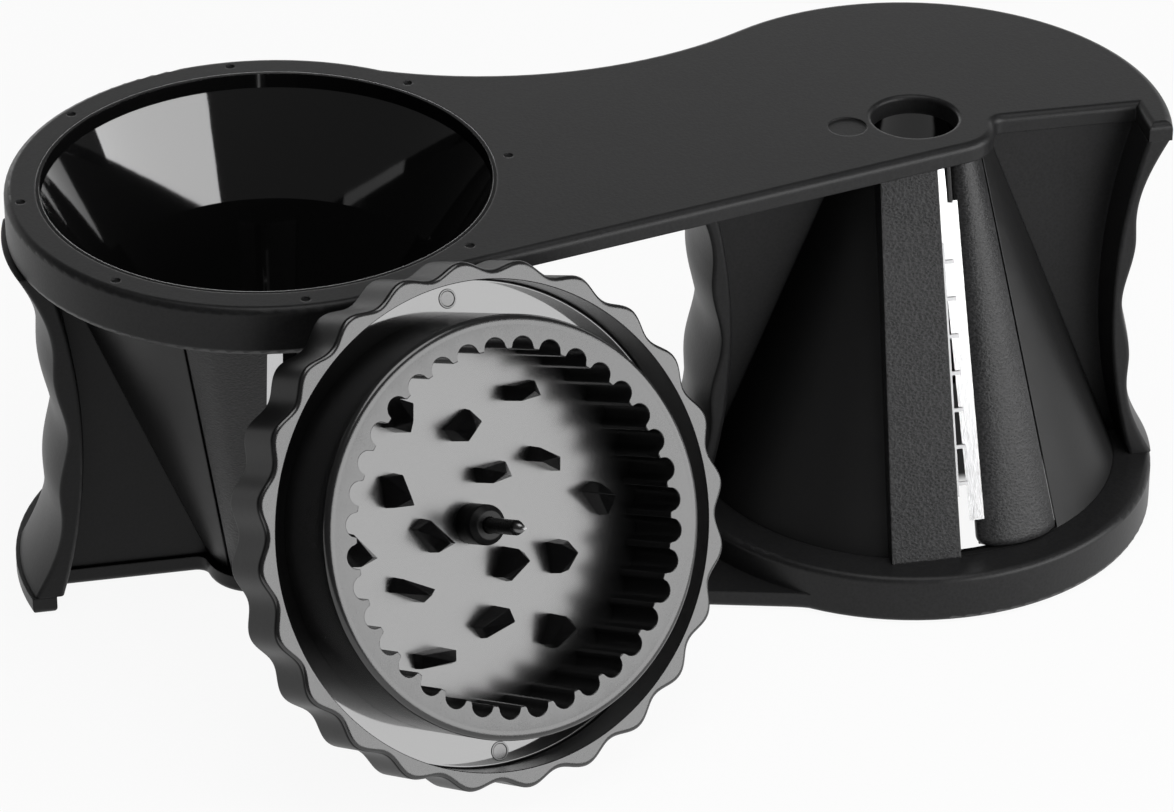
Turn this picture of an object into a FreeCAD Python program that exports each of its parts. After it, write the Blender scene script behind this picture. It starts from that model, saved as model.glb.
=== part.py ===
"""Two-funnel hand spiralizer and its loose holder cap, as a parametric document.

Frame: millimetres, +Z up, origin at the middle of the body on the surface it stands on.
The two slicing units are one shape: the right one has its mouth down, and the left one is
the same unit turned half a turn about the body's horizontal Y axis, so its mouth is up.
Each unit is drawn in its own frame: origin on the funnel's axis in the plane of the mouth,
+Z from the mouth to the throat, and the blade at the front, at -Y.
"""
import FreeCAD, Part
import math
import os

import Sketcher
from FreeCAD import Placement, Rotation, Vector

SIZES = {
    # body
    "unit_offset": (53.6, "funnel axis from the middle of the body"),
    "body_height": (71.5, "from the face it stands on to the top"),
    "ring_radius": (42.0, "outside of the ring round each mouth"),
    "ring_height": (8.4, "depth of that ring"),
    "ring_round": (1.1, "rounding of the ring's rims"),
    "mouth_radius": (36.3, "inside of the funnel at its mouth"),
    "throat_radius": (9.4, "inside of the funnel under the far deck"),
    "funnel_wall": (2.6, "funnel wall, measured level"),
    "mouth_depth": (2.6, "upright rim inside the mouth"),
    "flare_depth": (19.4, "from the mouth to where its wider flare ends"),
    "lip_height": (1.2, "thin lip of the funnel at the mouth"),
    "lip_width": (0.7, "width of that lip"),
    "core_hole_radius": (7.1, "hole where the core of the vegetable comes out"),
    "core_hole_round": (0.7, "rounding of that hole"),
    "deck_thickness": (3.2, "plate that joins the two units"),
    "deck_end_radius": (42.3, "rounded end of the plate"),
    "foot_reach": (1.1, "lower plate's end stands out this much further"),
    "deck_inset": (0.3, "plate set in from the ring's outside"),
    "deck_round": (1.25, "rounding of the plate's outer edge"),
    "waist_radius": (65.4, "hollow curve of the plate's back edge"),
    "front_angle": (14.3, "slope of the plate's front edge, degrees"),
    "front_offset": (39.0, "that edge from the mouth's axis"),
    "front_blend": (22.0, "hollow curve where it meets the ring"),
    "corner_radius": (8.0, "rounded front corner of the plate"),
    "corner_blend": (2.0, "hollow curve from that corner to the web"),
    "corner_reach": (12.4, "that corner outside the funnel axis"),
    "web_lip": (0.6, "plate in front of the upright web"),
    "horn_inside": (37.0, "inside of the plate's horn over the grip"),
    "mark_offset": (11.6, "round moulding mark inside the core hole's axis"),
    "mark_radius": (3.2, "its radius"),
    "mark_front": (1.2, "that mark before the axis plane"),
    "dimple_circle": (39.5, "circle of small dimples on the ring"),
    "dimple_radius": (0.75, "radius of one dimple"),
    "dimple_count": (8, "dimples round the ring"),
    "mark_depth": (0.25, "depth of the mark and the dimples"),
    # grips
    "web_front": (2.2, "front face of the upright web, before the axis plane"),
    "web_thickness": (2.5, "upright web between funnel and grip"),
    "grip_front": (10.5, "front edge of the finger grip"),
    "grip_back": (10.5, "back edge of the finger grip"),
    "grip_waist": (35.6, "grip radius in the middle finger hollow"),
    "grip_knuckle": (37.35, "grip radius between two fingers"),
    "grip_hollow": (37.2, "grip radius in the outer finger hollows"),
    "finger_pitch": (15.0, "from one finger hollow to the next"),
    "grip_flare": (40.0, "grip radius where it flares to its ends"),
    "grip_inside": (32.45, "middle of the grip's inner face"),
    "grip_inside_sag": (4.4, "that face's ends further out"),
    "grip_edge_round": (0.7, "rounding of the grip's upright edges"),
    "left_grip_reach": (0.8, "left outer grip stands out this much further"),
    # blade unit
    "ramp_foot": (11.0, "left edge of the ramp at the ring"),
    "ramp_head": (8.9, "left edge of the ramp at the throat"),
    "ramp_edge": (0.7, "right edge of the ramp"),
    "ramp_rise": (0.5, "ramp face in front of the funnel"),
    "ramp_lip": (1.2, "thickness of the ramp at its right edge"),
    "ramp_taper": (3.2, "width over which the ramp thins to that edge"),
    "rib_foot": (5.7, "left edge of the rib at the ring"),
    "rib_head": (3.5, "left edge of the rib at the throat"),
    "seam_foot": (18.6, "right edge of the rib at the ring"),
    "seam_head": (9.3, "right edge of the rib at the throat"),
    "seam_gap": (0.35, "joint line between rib and funnel"),
    "rib_rise": (0.6, "rib face in front of the funnel"),
    "rib_round": (1.6, "rounding of the rib along the blade"),
    "rib_toe": (1.5, "bevel at the rib's foot beside the slot"),
    "rib_toe_gap": (0.5, "that corner of the foot above the ring"),
    "blade_foot": (2.75, "left edge of the blade's flat near the ring"),
    "blade_head": (1.0, "left edge of the blade's flat at the throat"),
    "blade_inset": (1.0, "blade behind the funnel's outer face"),
    "blade_thickness": (0.7, "blade"),
    "blade_root": (3.0, "width of blade held in the rib"),
    "blade_gap": (4.8, "open slot between ring and blade"),
    "tang_height": (5.8, "narrow top of the blade"),
    "tang_reach": (2.4, "right edge of that narrow top"),
    "clip_width": (0.7, "clip beside the narrow top"),
    "comb_width": (0.5, "back strip of the comb"),
    "comb_depth": (0.5, "thickness of the comb"),
    "comb_margin": (9.0, "comb's end above the ring"),
    "comb_start": (1.8, "first tooth above the strip's end"),
    "comb_tail": (2.82, "back strip above the last tooth"),
    "comb_clear": (0.12, "comb in front of the blade"),
    "tooth_width": (0.6, "one tooth of the comb"),
    "tooth_pitch": (6.13, "from one tooth to the next"),
    "tooth_count": (7, "teeth of the comb"),
    # holder
    "cap_lean": (25.28, "holder's axis above level, degrees"),
    "cap_turn": (21.56, "holder's axis turned to the right, degrees"),
    "cap_across": (-28.18, "holder's middle along X"),
    "cap_gap": (0.6, "holder's rim to the body it leans on"),
    "cap_rise": (0.25, "holder's lowest lobe above the table"),
    "skirt_bore": (38.1, "inside of the skirt"),
    "lobe_radius": (41.2, "tips of the skirt's lobes"),
    "lobe_depth": (1.6, "from lobe tip to valley"),
    "lobe_count": (24, "lobes round the skirt"),
    "lobe_phase": (-6.8, "first lobe, degrees"),
    "skirt_depth": (10.0, "skirt, with the disc behind it"),
    "skirt_round": (0.6, "rounding at the skirt's back"),
    "disc_thickness": (2.4, "disc that carries everything"),
    "cup_radius": (32.8, "outside of the cup"),
    "cup_bore": (27.45, "inside of the cup, between flutes"),
    "cup_height": (13.8, "cup wall from the disc"),
    "cup_round": (1.0, "rounding of the cup's rim"),
    "flute_count": (36, "flutes round the inside of the cup"),
    "flute_radius": (1.9, "one flute"),
    "flute_phase": (2.25, "first flute, degrees"),
    "spike_height": (7.4, "spike's point"),
    "spike_edge": (5.1, "spike's highest corner"),
    "spike_shoulder": (2.9, "the two corners beside it"),
    "spike_toe": (1.6, "spike's lowest corner"),
    "spike_across": (0.2, "point from the spike's middle, across it"),
    "spike_ahead": (0.9, "point from the spike's middle, along it"),
    "spike_length": (5.1, "foot of a spike"),
    "spike_width": (2.5, "foot of a spike"),
    "spike_draft": (0.93, "top of a spike to its foot"),
    "inner_circle": (8.5, "three spikes"),
    "middle_circle": (15.6, "six spikes"),
    "outer_circle": (22.1, "six spikes"),
    "post_radius": (3.2, "post in the middle of the cup"),
    "post_height": (5.4, "post from the disc"),
    "post_bevel": (0.9, "bevel at the top of the post"),
    "pin_radius": (1.2, "steel pin"),
    "pin_reach": (17.1, "tip of the pin from the disc"),
    "pin_point": (3.2, "length of its point"),
    "pin_seat": (0.8, "bottom of the pin's bore above the disc"),
    "pin_clearance": (0.05, "pin in its bore, on the radius"),
}

doc = FreeCAD.newDocument("Spiralizer")
sheet = doc.addObject("Spreadsheet::Sheet", "Sizes")
for row, (alias, (number, note)) in enumerate(SIZES.items(), start=1):
    sheet.set("A{}".format(row), str(number))
    sheet.set("B{}".format(row), note)
    sheet.setAlias("A{}".format(row), alias)
doc.recompute()


class Size:
    """A number together with the sheet formula that gives it."""

    def __init__(self, value, formula):
        self.value = float(value)
        self.formula = formula

    def _with(self, sign, other, value):
        return Size(value, "({} {} {})".format(self.formula, sign, as_size(other).formula))

    def __add__(self, other):
        return self._with("+", other, self.value + as_size(other).value)

    def __sub__(self, other):
        return self._with("-", other, self.value - as_size(other).value)

    def __mul__(self, other):
        return self._with("*", other, self.value * as_size(other).value)

    def __truediv__(self, other):
        return self._with("/", other, self.value / as_size(other).value)

    def __neg__(self):
        return Size(-self.value, "(-{})".format(self.formula))


def as_size(number):
    """A plain number as a Size, and a Size as it is."""
    if isinstance(number, Size):
        return number
    return Size(number, repr(float(number)))


def size(alias):
    """The named cell of the sheet as a Size."""
    return Size(sheet.get(alias), "Sizes." + alias)


def plain(alias):
    """The number in the named cell of the sheet."""
    return float(sheet.get(alias))


def bind(target, prop, amount):
    """Ties one property of a document object to the sheet."""
    target.setExpression(prop, as_size(amount).formula)


# ---------------------------------------------------------------- sketches and features

def origin_plane(body, role):
    """One of a body's own base planes or axes."""
    return next(item for item in body.Origin.OriginFeatures if item.Role == role)


def new_sketch(body, name, role, height=None):
    """An empty sketch on a base plane of the body, lifted by a height if one is given."""
    sketch = body.newObject("Sketcher::SketchObject", name)
    sketch.AttachmentSupport = (origin_plane(body, role), [""])
    sketch.MapMode = "FlatFace"
    if height is not None:
        bind(sketch, "AttachmentOffset.Base.z", height)
    return sketch


def pin_coordinate(sketch, kind, axis, line, amount):
    """Ties one coordinate of a line's start point to the sheet."""
    if amount.value == 0:
        sketch.addConstraint(Sketcher.Constraint("PointOnObject", line, 1, axis))
        return
    index = sketch.addConstraint(Sketcher.Constraint(kind, -1, 1, line, 1, amount.value))
    bind(sketch, "Constraints[{}]".format(index), amount)


def polygon(body, name, role, corners, height=None):
    """A closed straight-sided sketch; every corner is a pair of sizes."""
    sketch = new_sketch(body, name, role, height)
    corners = [(as_size(across), as_size(up)) for across, up in corners]
    places = [Vector(across.value, up.value, 0) for across, up in corners]
    count = len(places)
    for index in range(count):
        sketch.addGeometry(Part.LineSegment(places[index], places[(index + 1) % count]), False)
    for index in range(count):
        sketch.addConstraint(Sketcher.Constraint("Coincident", index, 2, (index + 1) % count, 1))
    for index, (across, up) in enumerate(corners):
        pin_coordinate(sketch, "DistanceX", -2, index, across)
        pin_coordinate(sketch, "DistanceY", -1, index, up)
    return sketch


def new_body(label):
    """A PartDesign body that becomes one node."""
    body = doc.addObject("PartDesign::Body", label)
    body.Label = label
    return body


def turned(body, kind, name, sketch):
    """A Revolution or Groove of a sketch, once round the body's Z axis."""
    feature = body.newObject("PartDesign::" + kind, name)
    feature.Profile = sketch
    feature.ReferenceAxis = (sketch, ["V_Axis"])
    feature.Angle = 360
    return feature


def primitive(body, kind, name, place=(0, 0, 0), **sizes):
    """An additive or subtractive primitive, its sizes and place tied to the sheet."""
    feature = body.newObject("PartDesign::" + kind, name)
    feature.AttachmentSupport = (origin_plane(body, "XY_Plane"), [""])
    feature.MapMode = "FlatFace"
    for axis, amount in zip("xyz", place):
        bind(feature, "AttachmentOffset.Base." + axis, amount)
    for prop, amount in sizes.items():
        bind(feature, prop, amount)
    return feature


def fillet(body, name, radius, wanted):
    """Rounds the edges of the body's tip for which wanted(edge) holds."""
    doc.recompute()
    base = body.Tip
    edges = [number for number, edge in enumerate(base.Shape.Edges, start=1) if wanted(edge)]
    feature = body.newObject("PartDesign::Fillet", name)
    feature.Base = (base, ["Edge{}".format(number) for number in edges])
    bind(feature, "Radius", radius)
    return feature


def level_edge(height, least_radius=0.0, most_radius=math.inf):
    """A test for edges that lie in one level plane, within a band of radii from the Z axis."""
    def wanted(edge):
        box = edge.BoundBox
        reach = max(math.hypot(v.Point.x, v.Point.y) for v in edge.Vertexes)
        level = abs(box.ZMin - height.value) < 1e-4 and abs(box.ZMax - height.value) < 1e-4
        return level and least_radius <= reach <= most_radius
    return wanted


def cut_checked(body, before, name):
    """Stops when a cut has taken nothing away."""
    doc.recompute()
    if body.Shape.Volume > before - 1e-3:
        raise RuntimeError(name + " removes nothing")


# ---------------------------------------------------------------- placing of the two units

UNITS = ("right", "left")


def place_unit(item, side, across=0, out=0, up=0, lean=0.0):
    """Right: mouth down at +X. Left: the same, turned half round the body's Y axis.

    across, out and up move the item in the unit's own frame; lean tips it back, in degrees.
    """
    along = size("unit_offset") + across
    tipped = Rotation(Vector(1, 0, 0), lean)
    if side == "right":
        item.Placement = Placement(Vector(0, 0, 0), tipped)
        bind(item, "Placement.Base.x", along)
        bind(item, "Placement.Base.z", as_size(up))
    else:
        half_turn = Rotation(Vector(0, 1, 0), 180)
        item.Placement = Placement(Vector(0, 0, 0), half_turn.multiply(tipped))
        bind(item, "Placement.Base.x", -along)
        bind(item, "Placement.Base.z", size("body_height") - up)
    bind(item, "Placement.Base.y", as_size(out))


# ---------------------------------------------------------------- funnel and its levels

THROAT = size("body_height") - size("deck_thickness")
FUNNEL_SLOPE = (size("mouth_radius") - size("throat_radius")) / THROAT


def inner_radius(height):
    """Inside radius of the funnel at a height above the mouth."""
    return size("mouth_radius") - FUNNEL_SLOPE * height


def outer_radius(height):
    """Outside radius of the funnel at a height above the mouth."""
    return inner_radius(height) + size("funnel_wall")


def between(foot, head, height):
    """A width that changes evenly from the ring to the throat, at one height."""
    ring = size("ring_height")
    return size(foot) + (size(head) - size(foot)) * (as_size(height) - ring) / (THROAT - ring)


def funnel(side):
    """Hollow cone, wider at its mouth, with a thin lip and a window in front for the blade."""
    body = new_body(side + "_funnel")
    lip_edge = size("mouth_radius") + size("lip_width")
    wall = polygon(body, side + "_funnel_section", "XZ_Plane", [
        (size("mouth_radius"), 0),
        (lip_edge, 0),
        (lip_edge, size("lip_height")),
        (outer_radius(size("lip_height")), size("lip_height")),
        (outer_radius(THROAT), THROAT),
        (size("throat_radius"), THROAT),
        (inner_radius(size("flare_depth")), size("flare_depth")),
        (size("mouth_radius"), size("mouth_depth"))])
    turned(body, "Revolution", side + "_funnel_wall", wall)
    doc.recompute()
    whole = body.Shape.Volume
    window = polygon(body, side + "_window_outline", "XZ_Plane", [
        (-size("ramp_foot"), size("ring_height")),
        (size("seam_foot"), size("ring_height")),
        (between("seam_foot", "seam_head", THROAT + 1), THROAT + 1),
        (-between("ramp_foot", "ramp_head", THROAT + 1), THROAT + 1)])
    opening = body.newObject("PartDesign::Pocket", side + "_window")
    opening.Profile = window
    bind(opening, "Length", size("mouth_radius") * 2)
    opening.Reversed = True
    cut_checked(body, whole, "funnel window")
    if not body.Shape.isInside(Vector(0, size("throat_radius").value + 1, THROAT.value - 1), 0.01, True):
        opening.Reversed = False
        cut_checked(body, whole, "funnel window")
    place_unit(body, side)
    return body


# ---------------------------------------------------------------- decks

def arc_between(middle, radius, start, end):
    """The arc from start to end, anticlockwise round middle."""
    first, last = [math.atan2(p.y - middle.y, p.x - middle.x) for p in (start, end)]
    if last < first:
        last += 2 * math.pi
    return Part.ArcOfCircle(Part.Circle(middle, Vector(0, 0, 1), radius), first, last)


def deck_outline(body, name, end_radius, horn_inside):
    """Plan of the plate: ring end, sloping front, web edge, horn, round end and hollow back."""
    span = plain("unit_offset") * 2
    near = plain("ring_radius") - plain("deck_inset")
    far = end_radius.value
    waist = plain("waist_radius")
    slope = math.radians(plain("front_angle"))
    corner = plain("corner_radius")
    blend = plain("front_blend")
    offset = plain("front_offset")
    corner_side = -span - plain("corner_reach")
    web = -plain("web_front") - plain("web_lip")
    horn_side = -span - horn_inside.value
    horn_front = -plain("grip_front")

    waist_x = -span / 2 + ((far + waist) ** 2 - (near + waist) ** 2) / (2 * span)
    waist_middle = Vector(waist_x, math.sqrt((near + waist) ** 2 - waist_x ** 2), 0)
    near_middle = Vector(0, 0, 0)
    far_middle = Vector(-span, 0, 0)
    touch_near = waist_middle * (near / (near + waist))
    touch_far = far_middle + (waist_middle - far_middle) * (far / (far + waist))

    along = Vector(-math.cos(slope), math.sin(slope), 0)
    inward = Vector(math.sin(slope), math.cos(slope), 0)
    blend_run = math.sqrt((near + blend) ** 2 - (offset + blend) ** 2)
    blend_middle = along * blend_run - inward * (offset + blend)
    blend_start = blend_middle * (near / (near + blend))
    front_start = blend_middle + inward * blend
    run = (-inward.x * (offset - corner) - corner_side - corner) / math.cos(slope)
    corner_middle = along * run - inward * (offset - corner)
    front_end = corner_middle - inward * corner
    turn = plain("corner_blend")
    turn_y = web - turn
    turn_x = corner_middle.x - math.sqrt((corner + turn) ** 2 - (turn_y - corner_middle.y) ** 2)
    turn_middle = Vector(turn_x, turn_y, 0)
    corner_end = corner_middle + (turn_middle - corner_middle) * (corner / (corner + turn))
    turn_end = Vector(turn_x, web, 0)
    horn_end = Vector(-span - math.sqrt(far ** 2 - horn_front ** 2), horn_front, 0)

    sketch = new_sketch(body, name, "XY_Plane")
    horn_corner = Vector(horn_side, web, 0)
    horn_tip = Vector(horn_side, horn_front, 0)
    (ring_end, hollow_front, front, nose, turn_arc, web_edge, horn_inner, horn_edge, round_end,
     hollow_back) = sketch.addGeometry([
         arc_between(near_middle, near, blend_start, touch_near),
         arc_between(blend_middle, blend, blend_start, front_start),
         Part.LineSegment(front_start, front_end),
         arc_between(corner_middle, corner, corner_end, front_end),
         arc_between(turn_middle, turn, corner_end, turn_end),
         Part.LineSegment(turn_end, horn_corner),
         Part.LineSegment(horn_corner, horn_tip),
         Part.LineSegment(horn_tip, horn_end),
         arc_between(far_middle, far, touch_far, horn_end),
         arc_between(waist_middle, waist, touch_far, touch_near)], False)

    fix = sketch.addConstraint
    fix(Sketcher.Constraint("Coincident", ring_end, 3, -1, 1))
    fix(Sketcher.Constraint("Tangent", ring_end, 1, hollow_front, 1))
    fix(Sketcher.Constraint("Tangent", hollow_front, 2, front, 1))
    fix(Sketcher.Constraint("Tangent", front, 2, nose, 2))
    fix(Sketcher.Constraint("Tangent", nose, 1, turn_arc, 1))
    fix(Sketcher.Constraint("Tangent", turn_arc, 2, web_edge, 1))
    fix(Sketcher.Constraint("Coincident", web_edge, 2, horn_inner, 1))
    fix(Sketcher.Constraint("Coincident", horn_inner, 2, horn_edge, 1))
    fix(Sketcher.Constraint("Coincident", horn_edge, 2, round_end, 2))
    fix(Sketcher.Constraint("Tangent", round_end, 1, hollow_back, 1))
    fix(Sketcher.Constraint("Tangent", hollow_back, 2, ring_end, 2))
    fix(Sketcher.Constraint("Vertical", horn_inner))
    fix(Sketcher.Constraint("Horizontal", web_edge))
    fix(Sketcher.Constraint("Horizontal", horn_edge))
    fix(Sketcher.Constraint("PointOnObject", round_end, 3, -1))

    def drive(kind, amount, *geometry):
        index = fix(Sketcher.Constraint(kind, *geometry, amount.value))
        bind(sketch, "Constraints[{}]".format(index), amount)

    span_size = size("unit_offset") * 2
    drive("Radius", size("ring_radius") - size("deck_inset"), ring_end)
    drive("Radius", size("front_blend"), hollow_front)
    drive("Radius", end_radius, round_end)
    drive("Radius", size("waist_radius"), hollow_back)
    drive("Radius", size("corner_radius"), nose)
    drive("DistanceX", -span_size, -1, 1, round_end, 3)
    drive("Radius", size("corner_blend"), turn_arc)
    drive("DistanceX", size("corner_radius") - span_size - size("corner_reach"), -1, 1, nose, 3)
    drive("DistanceX", -span_size - horn_inside, -1, 1, horn_inner, 2)
    drive("DistanceY", -size("web_front") - size("web_lip"), -1, 1, web_edge, 1)
    drive("DistanceY", -size("grip_front"), -1, 1, horn_edge, 1)
    drive("Distance", size("front_offset"), -1, 1, front)
    angle = fix(Sketcher.Constraint("Angle", front, math.radians(180 - plain("front_angle"))))
    bind(sketch, "Constraints[{}]".format(angle), as_size(180) - size("front_angle"))
    return sketch


def deck(side):
    """Plate with the ring round this unit's mouth and the other unit's core hole."""
    body = new_body("lower_deck" if side == "right" else "upper_deck")
    name = body.Label
    reach = size("foot_reach") if side == "right" else as_size(0)
    outline = deck_outline(body, name + "_outline", size("deck_end_radius") + reach,
                           size("horn_inside") + reach)
    plate = body.newObject("PartDesign::Pad", name + "_plate")
    plate.Profile = outline
    bind(plate, "Length", size("deck_thickness"))
    fillet(body, name + "_edge", size("deck_round"), level_edge(as_size(0)))

    core_hole = primitive(body, "SubtractiveCylinder", name + "_core_hole",
                          place=(-size("unit_offset") * 2, 0, -1),
                          Radius=size("core_hole_radius"), Height=size("deck_thickness") + 2)
    core_hole.Angle = 360
    hole_edge = -plain("unit_offset") * 2 + plain("core_hole_radius") + 0.1
    fillet(body, name + "_core_hole_edge", size("core_hole_round"),
           lambda edge: edge.BoundBox.XMax < hole_edge and edge.BoundBox.ZMax < 0.01
           and edge.BoundBox.XLength < plain("core_hole_radius") * 2 + 0.1
           and edge.BoundBox.XMin > hole_edge - plain("core_hole_radius") * 2 - 0.3)

    rim = plain("ring_radius")
    start = rim - plain("ring_round")
    foot = plain("ring_height") - plain("ring_round")
    bead = plain("ring_round")
    ring = new_sketch(body, name + "_ring_section", "XZ_Plane")
    middle_low = Vector(start, bead, 0)
    middle_high = Vector(start, foot, 0)
    normal = Vector(0, 0, 1)
    inside = plain("mouth_radius") - 2
    base, low, side_line, high, top, bore = ring.addGeometry([
        Part.LineSegment(Vector(inside, 0, 0), Vector(start, 0, 0)),
        Part.ArcOfCircle(Part.Circle(middle_low, normal, bead), -math.pi / 2, 0),
        Part.LineSegment(Vector(rim, bead, 0), Vector(rim, foot, 0)),
        Part.ArcOfCircle(Part.Circle(middle_high, normal, bead), 0, math.pi / 2),
        Part.LineSegment(Vector(start, plain("ring_height"), 0), Vector(inside, plain("ring_height"), 0)),
        Part.LineSegment(Vector(inside, plain("ring_height"), 0), Vector(inside, 0, 0))], False)
    fix = ring.addConstraint
    fix(Sketcher.Constraint("Tangent", base, 2, low, 1))
    fix(Sketcher.Constraint("Tangent", low, 2, side_line, 1))
    fix(Sketcher.Constraint("Tangent", side_line, 2, high, 1))
    fix(Sketcher.Constraint("Tangent", high, 2, top, 1))
    fix(Sketcher.Constraint("Coincident", top, 2, bore, 1))
    fix(Sketcher.Constraint("Coincident", bore, 2, base, 1))
    fix(Sketcher.Constraint("Vertical", bore))
    fix(Sketcher.Constraint("Vertical", side_line))
    fix(Sketcher.Constraint("PointOnObject", base, 1, -1))
    fix(Sketcher.Constraint("Equal", low, high))

    def drive(kind, amount, *geometry):
        index = fix(Sketcher.Constraint(kind, *geometry, amount.value))
        bind(ring, "Constraints[{}]".format(index), amount)

    drive("Radius", size("ring_round"), low)
    drive("DistanceX", size("mouth_radius") - 2, -1, 1, bore, 1)
    drive("DistanceX", size("ring_radius"), -1, 1, side_line, 1)
    drive("DistanceY", size("ring_height"), -1, 1, top, 2)
    turned(body, "Revolution", name + "_ring", ring)

    lip_edge = size("mouth_radius") + size("lip_width")
    seat = polygon(body, name + "_seat_section", "XZ_Plane", [
        (0, -1),
        (lip_edge, -1),
        (lip_edge, size("lip_height")),
        (outer_radius(size("lip_height")), size("lip_height")),
        (outer_radius(size("ring_height") + 1), size("ring_height") + 1),
        (0, size("ring_height") + 1)])
    turned(body, "Groove", name + "_funnel_seat", seat)

    primitive(body, "SubtractiveCylinder", name + "_mark",
              place=(-size("unit_offset") * 2 + size("mark_offset"), -size("mark_front"), 0),
              Radius=size("mark_radius"), Height=size("mark_depth"))
    dimple = primitive(body, "SubtractiveCylinder", name + "_dimple",
                       place=(size("dimple_circle"), 0, -0.5),
                       Radius=size("dimple_radius"), Height=size("mark_depth") + 0.5)
    dimples = body.newObject("PartDesign::PolarPattern", name + "_dimples")
    dimples.Originals = [dimple]
    dimples.Axis = (outline, ["N_Axis"])
    dimples.Angle = 360
    bind(dimples, "Occurrences", size("dimple_count"))
    body.Tip = dimples
    place_unit(body, side)
    return body


# ---------------------------------------------------------------- finger grips

def wavy_curve(reach):
    """The grip's upright profile: three finger hollows, flaring to its two ends."""
    low = plain("ring_height")
    high = THROAT.value
    middle = (low + high) / 2
    half = (high - low) / 2
    pitch = plain("finger_pitch")
    flare = half - pitch
    rise = [
        (0.0, plain("grip_waist")),
        (pitch * 0.36, (plain("grip_waist") + plain("grip_knuckle")) / 2),
        (pitch * 0.72, plain("grip_knuckle")),
        (pitch, plain("grip_hollow")),
        (pitch + flare * 0.3, (plain("grip_hollow") * 5 + plain("grip_flare")) / 6),
        (pitch + flare * 0.74, plain("grip_flare")),
        (half, plain("ring_radius"))]
    lower = [(radius, middle - away) for away, radius in reversed(rise)]
    upper = [(radius, middle + away) for away, radius in rise[1:]]
    curve = Part.BSplineCurve()
    curve.interpolate([Vector(radius + reach, 0, height) for radius, height in lower + upper])
    return curve.toShape()


def grip(side, outward):
    """Upright web beside the funnel with the wavy finger grip at its far edge."""
    top = THROAT.value
    low = plain("ring_height")
    reach = plain("left_grip_reach") if outward and side == "left" else 0.0
    outer = wavy_curve(reach)
    foot, head = outer.Vertexes[0].Point, outer.Vertexes[1].Point
    axis_low, axis_high = Vector(0, 0, low), Vector(0, 0, top)
    section = Part.Wire(Part.__sortEdges__([
        outer,
        Part.makeLine(head, axis_high),
        Part.makeLine(axis_high, axis_low),
        Part.makeLine(axis_low, foot)]))
    sweep = 80.0
    round_body = Part.Face(section).revolve(Vector(0, 0, 0), Vector(0, 0, 1), sweep)
    round_body.rotate(Vector(0, 0, 0), Vector(0, 0, 1), -sweep / 2)

    inside = plain("grip_inside")
    ends = inside + plain("grip_inside_sag")
    far = plain("ring_radius") + 10
    hollow = Part.Arc(Vector(ends, 0, low), Vector(inside, 0, (low + top) / 2), Vector(ends, 0, top))
    rim = Part.Wire(Part.__sortEdges__([
        hollow.toShape(),
        Part.makeLine(Vector(ends, 0, top), Vector(far, 0, top)),
        Part.makeLine(Vector(far, 0, top), Vector(far, 0, low)),
        Part.makeLine(Vector(far, 0, low), Vector(ends, 0, low))]))
    depth = plain("grip_front") + plain("grip_back")
    rim_block = Part.Face(rim).extrude(Vector(0, depth, 0))
    rim_block.translate(Vector(0, -plain("grip_front"), 0))
    web_block = Part.makeBox(far, plain("web_thickness"), top - low, Vector(0, -plain("web_front"), low))
    solid = round_body.common(rim_block.fuse(web_block)).removeSplitter()
    cone = Part.makeCone(outer_radius(as_size(0)).value, outer_radius(THROAT).value, top)
    solid = solid.cut(cone)
    solid = max(solid.Solids, key=lambda piece: piece.Volume)
    edges = [edge for edge in solid.Edges if grip_edge(edge)]
    solid = solid.makeFillet(plain("grip_edge_round"), edges)
    if not outward:
        solid = solid.mirror(Vector(0, 0, 0), Vector(1, 0, 0))
    label = "{}_{}_grip".format(side, "outer" if outward else "inner")
    item = doc.addObject("Part::Feature", label)
    item.Label = label
    item.Shape = solid
    place_unit(item, side)
    return item


def grip_edge(edge):
    """The upright edges along the front and back of the grip."""
    box = edge.BoundBox
    front = abs(box.YMax + plain("grip_front")) < 1e-3
    back = abs(box.YMin - plain("grip_back")) < 1e-3
    tall = box.ZLength > 20
    return (front or back) and tall


# ---------------------------------------------------------------- ramp, rib, blade, comb, clip

def level_loft(body, name, corners_at, low, high):
    """Straight-sided loft between the same outline at two heights."""
    foot = polygon(body, name + "_foot", "XY_Plane", corners_at(low), low)
    head = polygon(body, name + "_head", "XY_Plane", corners_at(high), high)
    loft = body.newObject("PartDesign::AdditiveLoft", name)
    loft.Profile = foot
    loft.Sections = [head]
    loft.Ruled = True
    return loft


def inner_cone_cut(body, name):
    """Takes the inside of the funnel out of a piece that closes its window."""
    return primitive(body, "SubtractiveCone", name, Radius1=size("mouth_radius"),
                     Radius2=size("throat_radius"), Height=THROAT)


def ramp(side):
    """Flat-faced panel that leads the vegetable to the blade; it closes half the window."""
    body = new_body(side + "_blade_ramp")

    def corners(height):
        face = -(outer_radius(height) + size("ramp_rise"))
        edge = size("ramp_edge")
        left = -between("ramp_foot", "ramp_head", height)
        return [
            (left, face),
            (edge, face),
            (edge, face + size("ramp_lip")),
            (edge - size("ramp_taper"), -inner_radius(height)),
            (left, -size("web_front"))]

    level_loft(body, side + "_ramp", corners, size("ring_height"), THROAT)
    inner_cone_cut(body, side + "_ramp_inside")
    place_unit(body, side)
    return body


def blade_corners(height):
    """Cross-section of the blade: a bevel that runs under the ramp's edge, then a flat."""
    flat = -(outer_radius(height) - size("blade_inset"))
    back = flat + size("blade_thickness")
    tip = size("ramp_edge") - 0.3
    end = between("rib_foot", "rib_head", height) + size("blade_root")
    return [
        (tip, back - 0.05),
        (between("blade_foot", "blade_head", height), flat),
        (end, flat),
        (end, back),
        (tip, back)]


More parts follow.
